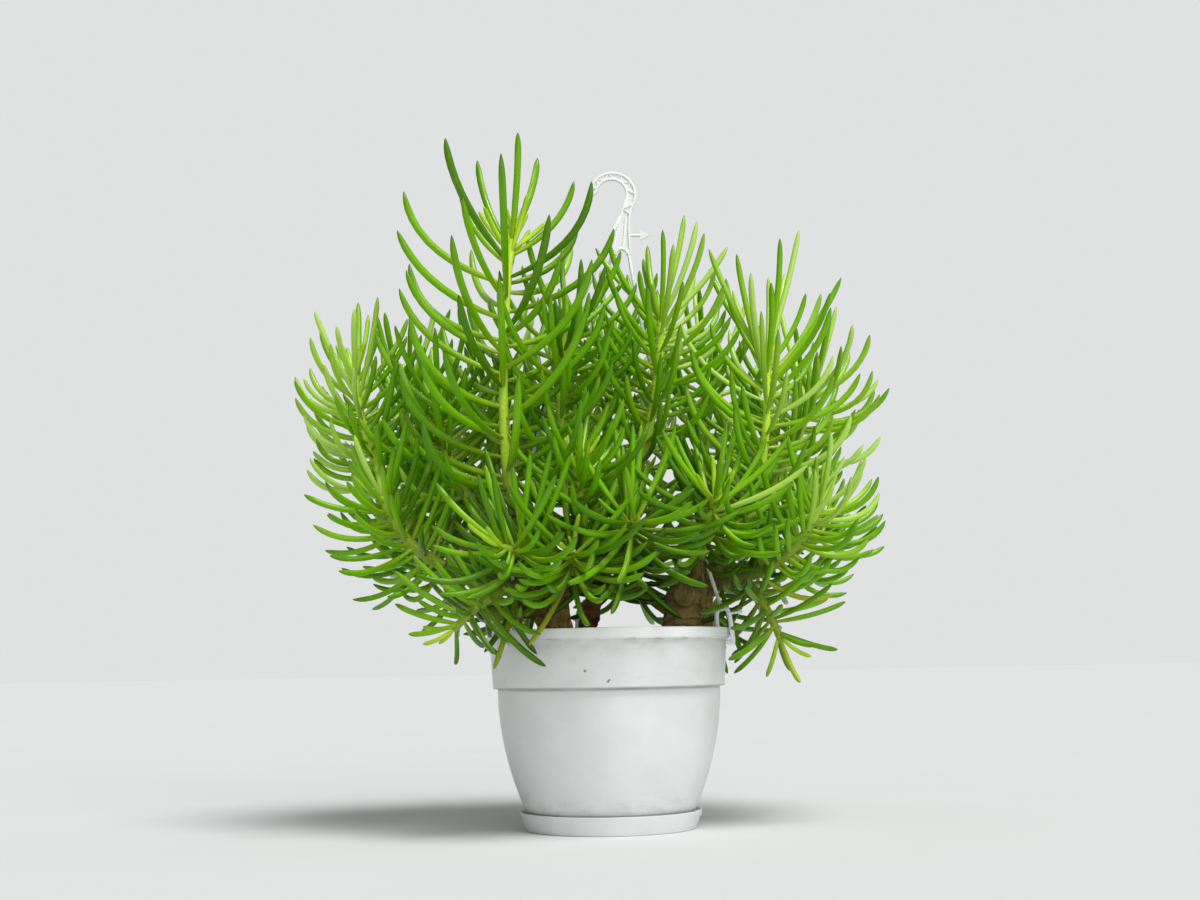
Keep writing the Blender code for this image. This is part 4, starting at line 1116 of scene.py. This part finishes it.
def turned(name, profile, material):
    """A solid of revolution about Z from (radius, height) points that run down its outer side."""
    mesh = bpy.data.meshes.new(name)
    points = [(radius, 0, height) for radius, height in profile]
    mesh.from_pydata(points, [(i, i + 1) for i in range(len(points) - 1)], [])
    obj = add_mesh(name, mesh, material)
    screw = obj.modifiers.new("turn", "SCREW")
    screw.steps = screw.render_steps = ROUND_STEPS
    screw.use_merge_vertices = True
    screw.merge_threshold = 0.00002
    screw.use_smooth_shade = True
    return obj


def bowl_radius(z):
    share = (z - BOWL_FOOT) / (BAND_FOOT - BOWL_FOOT)
    return BOWL_FOOT_RADIUS + (BOWL_RADIUS - BOWL_FOOT_RADIUS) * (1 - (1 - share) ** 2)


def combined(obj, name, bodies, operation, material):
    """The object with a bmesh's bodies cut out of it or joined to it."""
    other = add_mesh(name + "_bodies", bodies, material)
    change = obj.modifiers.new(name, "BOOLEAN")
    change.operation = operation
    change.object = other
    mesh = evaluated_mesh(obj, name)
    for spent in (obj, other):
        bpy.data.objects.remove(spent)
    return smooth(add_mesh(name, mesh, material), 35)


def build_pot():
    heights = [BOWL_FOOT + (BAND_FOOT - BOWL_FOOT) * k / 18 for k in range(19)]
    inner = [(NECK_RADIUS - WALL, POT_FLOOR), (NECK_RADIUS - WALL, BOWL_FOOT)]
    inner += [(bowl_radius(z) - WALL, z) for z in heights[2:]]
    inner.append((BAND_FOOT_RADIUS - WALL, BAND_FOOT + 0.004))
    rim = [(BAND_TOP_RADIUS - WALL, RIM_TOP), (LIP_RADIUS, RIM_TOP), (LIP_RADIUS, LIP_BOTTOM)]
    outer = [(BAND_TOP_RADIUS, LIP_BOTTOM), (BAND_FOOT_RADIUS, BAND_FOOT), (BOWL_RADIUS, BAND_FOOT)]
    bowl = [(bowl_radius(z), z) for z in reversed(heights[:-1])]
    foot = [(NECK_RADIUS, BOWL_FOOT - 0.0004), (NECK_RADIUS, BEAD_TOP), (BEAD_RADIUS, BEAD_TOP - 0.0010),
            (BEAD_RADIUS, POT_UNDERSIDE), (0, POT_UNDERSIDE)]
    profile = rounded([(0, POT_FLOOR), *inner, *rim, *outer, *bowl, *foot], 0.0009)
    material = pot_material("pot_white", True)
    drains = bmesh.new()
    for k in range(DRAIN_COUNT):
        angle = 2 * math.pi * (k + 0.5) / DRAIN_COUNT
        out = Vector((math.cos(angle), math.sin(angle), 0)) * DRAIN_CIRCLE
        place = Matrix.Translation(out + Vector((0, 0, POT_FLOOR)))
        bmesh.ops.create_cone(drains, cap_ends=True, segments=20, radius1=DRAIN_RADIUS, radius2=DRAIN_RADIUS,
                              depth=0.02, matrix=place)
    pot = turned("pot_turned", profile, material)
    put(combined(pot, "pot_fine", drains, "DIFFERENCE", material), "pot_plastic", "pot")


def build_saucer():
    profile = [(0, SAUCER_WALL), (SAUCER_FOOT_RADIUS - 0.002, SAUCER_WALL),
               (SAUCER_TOP_RADIUS - SAUCER_WALL, SAUCER_TOP), (SAUCER_TOP_RADIUS, SAUCER_TOP),
               (SAUCER_FOOT_RADIUS, 0), (0, 0)]
    material = pot_material("saucer_white", False)
    bodies = bmesh.new()
    for k in range(3):
        for turn, place, size in ((k, LUG_PLACE, LUG_SIZE), (k + 0.5, RIB_PLACE, RIB_SIZE)):
            matrix = Matrix.Translation(place) @ Matrix.Diagonal((*size, 1))
            matrix = Matrix.Rotation(2 * math.pi * turn / 3, 4, "Z") @ matrix
            bmesh.ops.create_cube(bodies, size=1.0, matrix=matrix)
    saucer = turned("saucer_turned", rounded(profile, 0.0007), material)
    put(combined(saucer, "saucer_fine", bodies, "UNION", material), "saucer_plastic", "saucer")


def soil_height(x, y):
    """The mound's top, with clods and a rise at each trunk."""
    reach = math.hypot(x, y) / SOIL_RADIUS
    top = SOIL_MIDDLE - (SOIL_MIDDLE - SOIL_EDGE) * min(reach, 1.0) ** 2.4
    spot = Vector((x, y, 0.0))
    for height, fineness in SOIL_CLODS:
        top += height * noise.noise(spot * fineness)
    for line in TRUNKS.values():
        gap = math.hypot(x - line[1][0], y - line[1][1]) / line[1][3]
        top += TRUNK_RISE * math.exp(-max(gap - 1.0, 0.0) ** 2 / 0.35)
    return top - 0.0008


def build_soil():
    """The mound's skin on a round grid, closed below, with loose grains and chips lying on it."""
    edge = BAND_TOP_RADIUS - WALL - 0.0012
    bm = bmesh.new()
    middle = bm.verts.new((0, 0, soil_height(0, 0)))
    grid = []
    for row in range(1, SOIL_ROWS + 1):
        radius = edge * row / SOIL_ROWS
        ring = []
        for k in range(SOIL_SIDES):
            angle = 2 * math.pi * (k + 0.5 * (row % 2)) / SOIL_SIDES
            x, y = radius * math.cos(angle), radius * math.sin(angle)
            ring.append(bm.verts.new((x, y, soil_height(x, y))))
        grid.append(ring)
    low = [bm.verts.new((v.co.x * 0.985, v.co.y * 0.985, SOIL_BOTTOM)) for v in grid[-1]]
    grid.append(low)
    for k in range(SOIL_SIDES):
        after = (k + 1) % SOIL_SIDES
        bm.faces.new((middle, grid[0][k], grid[0][after]))
        for inner, outer in zip(grid, grid[1:]):
            bm.faces.new((inner[k], outer[k], outer[after], inner[after]))
    bm.faces.new(list(reversed(low)))
    draw = random.Random("grains")
    for number in range(GRAIN_COUNT):
        angle, reach = draw.uniform(0, 2 * math.pi), GRAIN_REACH * math.sqrt(draw.random())
        x, y = reach * math.cos(angle), reach * math.sin(angle)
        size = draw.uniform(0.0010, 0.0030)
        shape = Matrix.Diagonal((size, size * draw.uniform(0.5, 1.0), size * draw.uniform(0.35, 0.8), 1))
        turn = Matrix.Rotation(draw.uniform(0, 6.3), 4, "Z")
        turn = turn @ Matrix.Rotation(draw.uniform(-0.6, 0.6), 4, "X")
        place = Matrix.Translation((x, y, soil_height(x, y) + size * 0.25))
        grain = bmesh.ops.create_icosphere(bm, subdivisions=1, radius=1.0, matrix=place @ turn @ shape)
        for vertex in grain["verts"]:
            vertex.co += Vector([draw.uniform(-1, 1) for axis in "xyz"]) * size * 0.22
    bmesh.ops.recalc_face_normals(bm, faces=bm.faces)
    soil = add_mesh("soil_fine", bm, soil_material())
    soil.data.shade_smooth()
    put(soil, "soil", "soil")


def swept(bm, line, section, up, closed=False):
    """Sweeps a section of (across, up) points along a line of places, with caps where it isn't closed."""
    count = len(line)
    rings = []
    for k, place in enumerate(line):
        before = line[k - 1] if closed or k else line[k]
        after = line[(k + 1) % count] if closed or k < count - 1 else line[k]
        way = (after - before).normalized()
        over = (up - way * up.dot(way)).normalized()
        across = way.cross(over)
        rings.append([bm.verts.new(place + across * a + over * b) for a, b in section])
    sides = len(section)
    for k in range(count if closed else count - 1):
        here, there = rings[k], rings[(k + 1) % count]
        for i in range(sides):
            j = (i + 1) % sides
            bm.faces.new((here[i], here[j], there[j], there[i]))
    if not closed:
        bm.faces.new(list(reversed(rings[0])))
        bm.faces.new(rings[-1])


def box_section(width, height, corner=0.0003):
    w, h, c = width / 2, height / 2, corner
    return [(w, h - c), (w - c, h), (c - w, h), (-w, h - c),
            (-w, c - h), (c - w, -h), (w - c, -h), (w, c - h)]


def round_section(width, height, sides=14):
    return [(width / 2 * math.cos(2 * math.pi * k / sides), height / 2 * math.sin(2 * math.pi * k / sides))
            for k in range(sides)]


def smooth_line(points, steps=5):
    """Catmull-Rom line through points."""
    ends = [points[0] * 2 - points[1], *points, points[-1] * 2 - points[-2]]
    line = []
    for a, b, c, d in zip(ends, ends[1:], ends[2:], ends[3:]):
        for k in range(steps):
            t = k / steps
            line.append(0.5 * (b * 2 + (c - a) * t + (a * 2 - b * 5 + c * 4 - d) * t * t
                               + (b * 3 - a - c * 3 + d) * t ** 3))
    return [*line, points[-1]]


def plate(bm, points, way):
    """A flat plate through points that reaches way to either side of them."""
    front = [bm.verts.new(p + way) for p in points]
    back = [bm.verts.new(p - way) for p in points]
    caps = [bm.faces.new(front), bm.faces.new(list(reversed(back)))]
    for k in range(len(points)):
        j = (k + 1) % len(points)
        bm.faces.new((front[k], back[k], back[j], front[j]))
    for cap in caps:
        cap.normal_update()
    bmesh.ops.triangulate(bm, faces=caps)


def ball(bm, place, size, sides, rings):
    matrix = Matrix.Translation(place) @ Matrix.Diagonal((*size, 1))
    bmesh.ops.create_uvsphere(bm, u_segments=sides, v_segments=rings, radius=1.0, matrix=matrix)


def build_hanger():
    """I-section hook with zigzag ribs, a webbed shoulder, ribbed straps and forked clips."""
    bm = bmesh.new()
    cx, cz = HOOK_CENTRE
    depth = Vector((0, 1, 0))

    def at(x, z):
        return Vector((x, HANGER_Y, z))

    def on_hook(radius, degrees, shift=0.0):
        angle = math.radians(degrees)
        return cx - shift + radius * math.cos(angle), cz + shift + radius * math.sin(angle)

    outer = [on_hook(HOOK_OUTER, a) for a in range(190, -31, -5)]
    inner = [on_hook(HOOK_INNER, a, HOOK_SHIFT) for a in range(-10, 171, 5)]
    outline = [*outer, *SHOULDER_RIGHT, *SHOULDER_ARCH, *SHOULDER_LEFT, *inner]
    rail = []
    for k, (x, z) in enumerate(outline):
        (x0, z0), (x1, z1) = outline[k - 1], outline[(k + 1) % len(outline)]
        way = Vector((x1 - x0, z1 - z0)).normalized()
        rail.append(at(x + way.y * RAIL_WIDTH / 2, z - way.x * RAIL_WIDTH / 2))
    swept(bm, rail, box_section(RAIL_WIDTH, HANGER_THICKNESS, 0.0005), depth, closed=True)
    plate(bm, rail, depth * (WEB_THICKNESS / 2))
    for k in range(len(RIB_ANGLES) - 1):
        start = at(*on_hook(RIB_ENDS[0], RIB_ANGLES[k + k % 2]))
        end = at(*on_hook(RIB_ENDS[1], RIB_ANGLES[k + 1 - k % 2], HOOK_SHIFT))
        swept(bm, [start, end], box_section(*RIB_SECTION), depth)
    for line, section in (
        *((rib, box_section(*RIB_SECTION)) for rib in SHOULDER_RIBS),
        (SHOULDER_SPINE, box_section(*SPINE_SECTION)),
        (BARB_STEM, round_section(BARB_STEM_WIDTH, BARB_STEM_WIDTH)),
    ):
        swept(bm, [at(x, z) for x, z in line], section, depth)
    plate(bm, [at(x, z) for x, z in BARB], depth * (BARB_THICKNESS / 2))
    for side in CLIP_ANGLES:
        controls = strap_controls(side)
        line = [arc_point(controls, k / 28) for k in range(29)]
        out = clip_frame(side)(1.0, 0.0)
        swept(bm, line, box_section(*STRAP_SECTION), out)
        swept(bm, line, box_section(*SPINE_SECTION), out)
        fork, tab = clip_lines(side)
        along = clip_frame(side)(0.0, 0.0, 1.0)
        swept(bm, smooth_line(fork), round_section(*FORK_SECTION), along)
        swept(bm, smooth_line(tab, 3), round_section(*TAB_SECTION), along)
        for place in (fork[0], fork[-1], tab[-1]):
            ball(bm, place, END_SIZE, 12, 8)
        ball(bm, controls[2], JOINT_SIZE, 16, 10)
    bmesh.ops.recalc_face_normals(bm, faces=bm.faces)
    hanger = smooth(add_mesh("hanger_fine", bm, hanger_material()), 40)
    put(hanger, "hanger_plastic", "hanger")


def limb(form, points, radii, sides=16, steps=6):
    """A round limb through points with its own radius at each, ending in points."""
    line = smooth_line([Vector(p) for p in points], steps)
    widths = np.interp(np.linspace(0, 1, len(line)), np.linspace(0, 1, len(radii)), radii)
    ways = [(line[min(k + 1, len(line) - 1)] - line[max(k - 1, 0)]).normalized() for k in range(len(line))]
    up = ways[0].orthogonal().normalized()
    ups = []
    for way in ways:
        up = (up - way * up.dot(way)).normalized()
        ups.append(tuple(up))
    acrosses = [tuple(-Vector(u).cross(way)) for u, way in zip(ups, ways)]
    places = [tuple(line[0] - ways[0] * 0.0001), *map(tuple, line), tuple(line[-1] + ways[-1] * 0.0001)]
    ups = np.array([ups[0], *ups, ups[-1]])
    acrosses = np.array([acrosses[0], *acrosses, acrosses[-1]])
    widths = [0.0, *widths, 0.0]
    form.tube(np.array(places), widths, ups, acrosses, sides, [0.0] * len(places), (0.0, 0.0, 0.0))


def read_vectors(mesh, title):
    values = np.empty(len(mesh.vertices) * 3, np.float32)
    mesh.vertices.foreach_get(title, values)
    return values.reshape(-1, 3)


def build_trunk(trunk, material):
    """Bole and branches run together into one skin, then roughened like bark."""
    form = Form()
    limb(form, [p[:3] for p in TRUNKS[trunk]], [p[3] for p in TRUNKS[trunk]], 24)
    samples, shares = [], []
    for shoot in [shoot for shoot in SHOOTS if SHOOTS[shoot][0] == trunk]:
        limb(form, *branch_line(shoot))
        axis, bare = shoot_axis(shoot), SHOOTS[shoot][3]
        for k in range(13):
            samples.append(tuple(arc_point(axis, bare * k / 12)))
            shares.append(k / 12)
    for name, start, end, radius in STUBS:
        if name == trunk:
            limb(form, [start, (Vector(start) + Vector(end)) / 2, end], [radius * 1.15, radius, radius])
    rough = form.object(trunk + "_tubes", material)
    remesh = rough.modifiers.new("skin", "REMESH")
    remesh.mode = "VOXEL"
    remesh.voxel_size = SKIN_VOXEL
    soften = rough.modifiers.new("soften", "SMOOTH")
    soften.factor = 0.6
    soften.iterations = 3
    mesh = evaluated_mesh(rough, trunk + "_fine")
    bpy.data.objects.remove(rough)
    places, normals = read_vectors(mesh, "co"), read_vectors(mesh, "normal")
    samples, shares = np.array(samples, np.float32), np.array(shares, np.float32)
    count = len(places)
    share = np.zeros(count, np.float32)
    for start in range(0, count, 4000):
        part = places[start:start + 4000]
        gaps = ((part[:, None] - samples[None]) ** 2).sum(-1)
        share[start:start + 4000] = shares[gaps.argmin(1)]
    lift = np.empty(count, np.float32)
    for k, (x, y, z) in enumerate(places):
        old = 1.0 - min(share[k] / OLD_WOOD, 1.0)
        bend = RING_BEND * noise.noise(Vector((x, y, z)) * 45)
        rings = noise.noise(Vector((x * 45, y * 45, (z + bend) * 330)))
        cracks = noise.noise(Vector((x * 210, y * 210, z * 50)))
        knobs = noise.noise(Vector((x, y, z)) * 72)
        relief = RING_HEIGHT * rings + CRACK_HEIGHT * cracks + KNOB_HEIGHT * knobs * old
        lift[k] = (0.15 + 0.85 * old) * relief
    places = places + normals * lift[:, None]
    mesh.vertices.foreach_set("co", places.reshape(-1))
    facts = np.stack([share, np.zeros(count), np.zeros(count)], 1).astype(np.float32)
    layer = mesh.attributes.get("leaf_facts") or mesh.attributes.new("leaf_facts", "FLOAT_VECTOR", "POINT")
    layer.data.foreach_set("vector", facts.reshape(-1))
    mesh.shade_smooth()
    put(add_mesh(trunk + "_fine", mesh, material), "bark", trunk)


def build_dried(leaves):
    """Shrivelled brown leaves that cling to the wood just below the green."""
    crowd = frame_crowd(0.0)
    for shoot in SHOOTS:
        for leaf in leaves[shoot]:
            crowd.add(shoot, fine_rods(leaf.controls, leaf.radius))
    form = Form()
    draw = random.Random("dried")
    for shoot in DRIED:
        for number in range(DRIED_EACH):
            height = SHOOTS[shoot][3] * draw.uniform(0.80, 0.97)
            plan = (draw.uniform(0, 6.28), draw.uniform(95, 130), draw.uniform(0.022, 0.038), -0.9)
            found = fit_extra(shoot, height, plan, DRIED_RADIUS, crowd, on_wood=True)
            if found:
                controls, rods = found
                add_dried(form, controls, draw)
                crowd.add("dried", rods)
    put(form.object("dried_leaves", dry_material()), "leaf")


def add_dried(form, controls, draw):
    """One shrunken leaf: flat, creased along its length and curled at the tip."""
    places, ups, acrosses = arc_frames(controls, FINE_PLACES)
    radii = []
    for t in FINE_PLACES:
        width = DRIED_RADIUS * (0.5 + 0.5 * math.sin(math.pi * min(t + 0.15, 1.0)))
        radii.append([width * crease * draw.uniform(0.8, 1.2) for crease in DRIED_CREASES])
    facts = (draw.random(), 1.0, 0.0)
    form.tube(places, radii, ups, -acrosses, len(DRIED_CREASES), FINE_PLACES, facts)


def build_shoots(material):
    leaves = dress_shoots()
    for shoot in SHOOTS:
        form = Form()
        add_stem(form, shoot, leaves[shoot])
        for leaf in leaves[shoot]:
            add_leaf(form, leaf)
        put(form.object(shoot + "_fine", material), "leaf", shoot)
    build_dried(leaves)


def build_stage():
    """A plain pale floor with an even pale surround."""
    bm = bmesh.new()
    bmesh.ops.create_grid(bm, x_segments=2, y_segments=2, size=30.0)
    floor = add_mesh("floor", bm, floor_material())
    floor.location.z = -0.0002
    world = bpy.data.worlds.new("studio")
    bpy.context.scene.world = world
    world.use_nodes = True
    tree = world.node_tree
    surround = tree.nodes["Background"]
    surround.inputs["Color"].default_value = (0.745, 0.757, 0.757, 1.0)
    seen = tree.nodes.new("ShaderNodeLightPath")
    strength = tree.nodes.new("ShaderNodeMapRange")
    strength.inputs["To Min"].default_value = SURROUND_LIGHT
    tree.links.new(seen.outputs["Is Camera Ray"], strength.inputs["Value"])
    tree.links.new(strength.outputs[0], surround.inputs["Strength"])


def build_lights():
    for name, place, angle, strength in LIGHTS:
        light = bpy.data.lights.new(name, "SUN")
        light.energy = strength
        light.angle = math.radians(angle)
        link(name, light).rotation_euler = Vector(place).to_track_quat("Z", "Y").to_euler()


def build_camera():
    ahead = Vector((0, math.cos(CAMERA_TILT), math.sin(CAMERA_TILT)))
    level = Vector((1, 0, 0))
    above = Vector((0, -math.sin(CAMERA_TILT), math.cos(CAMERA_TILT)))
    right = level * math.cos(CAMERA_ROLL) - above * math.sin(CAMERA_ROLL)
    up = level * math.sin(CAMERA_ROLL) + above * math.cos(CAMERA_ROLL)
    data = bpy.data.cameras.new("photo_view")
    data.sensor_width = 36.0
    data.lens = FOCAL_PIXELS / IMAGE_WIDTH * data.sensor_width
    camera = link("photo_view", data)
    turn = Matrix((right, up, -ahead)).transposed().to_4x4()
    camera.matrix_world = Matrix.Translation(CAMERA_PLACE) @ turn
    bpy.context.scene.camera = camera


build_camera()
build_lights()
build_stage()
build_pot()
build_saucer()
build_soil()
build_hanger()
for trunk, bark in BARKS.items():
    build_trunk(trunk, bark_material(*bark))
build_shoots(leaf_material())
bpy.context.scene.view_settings.view_transform = "Standard"
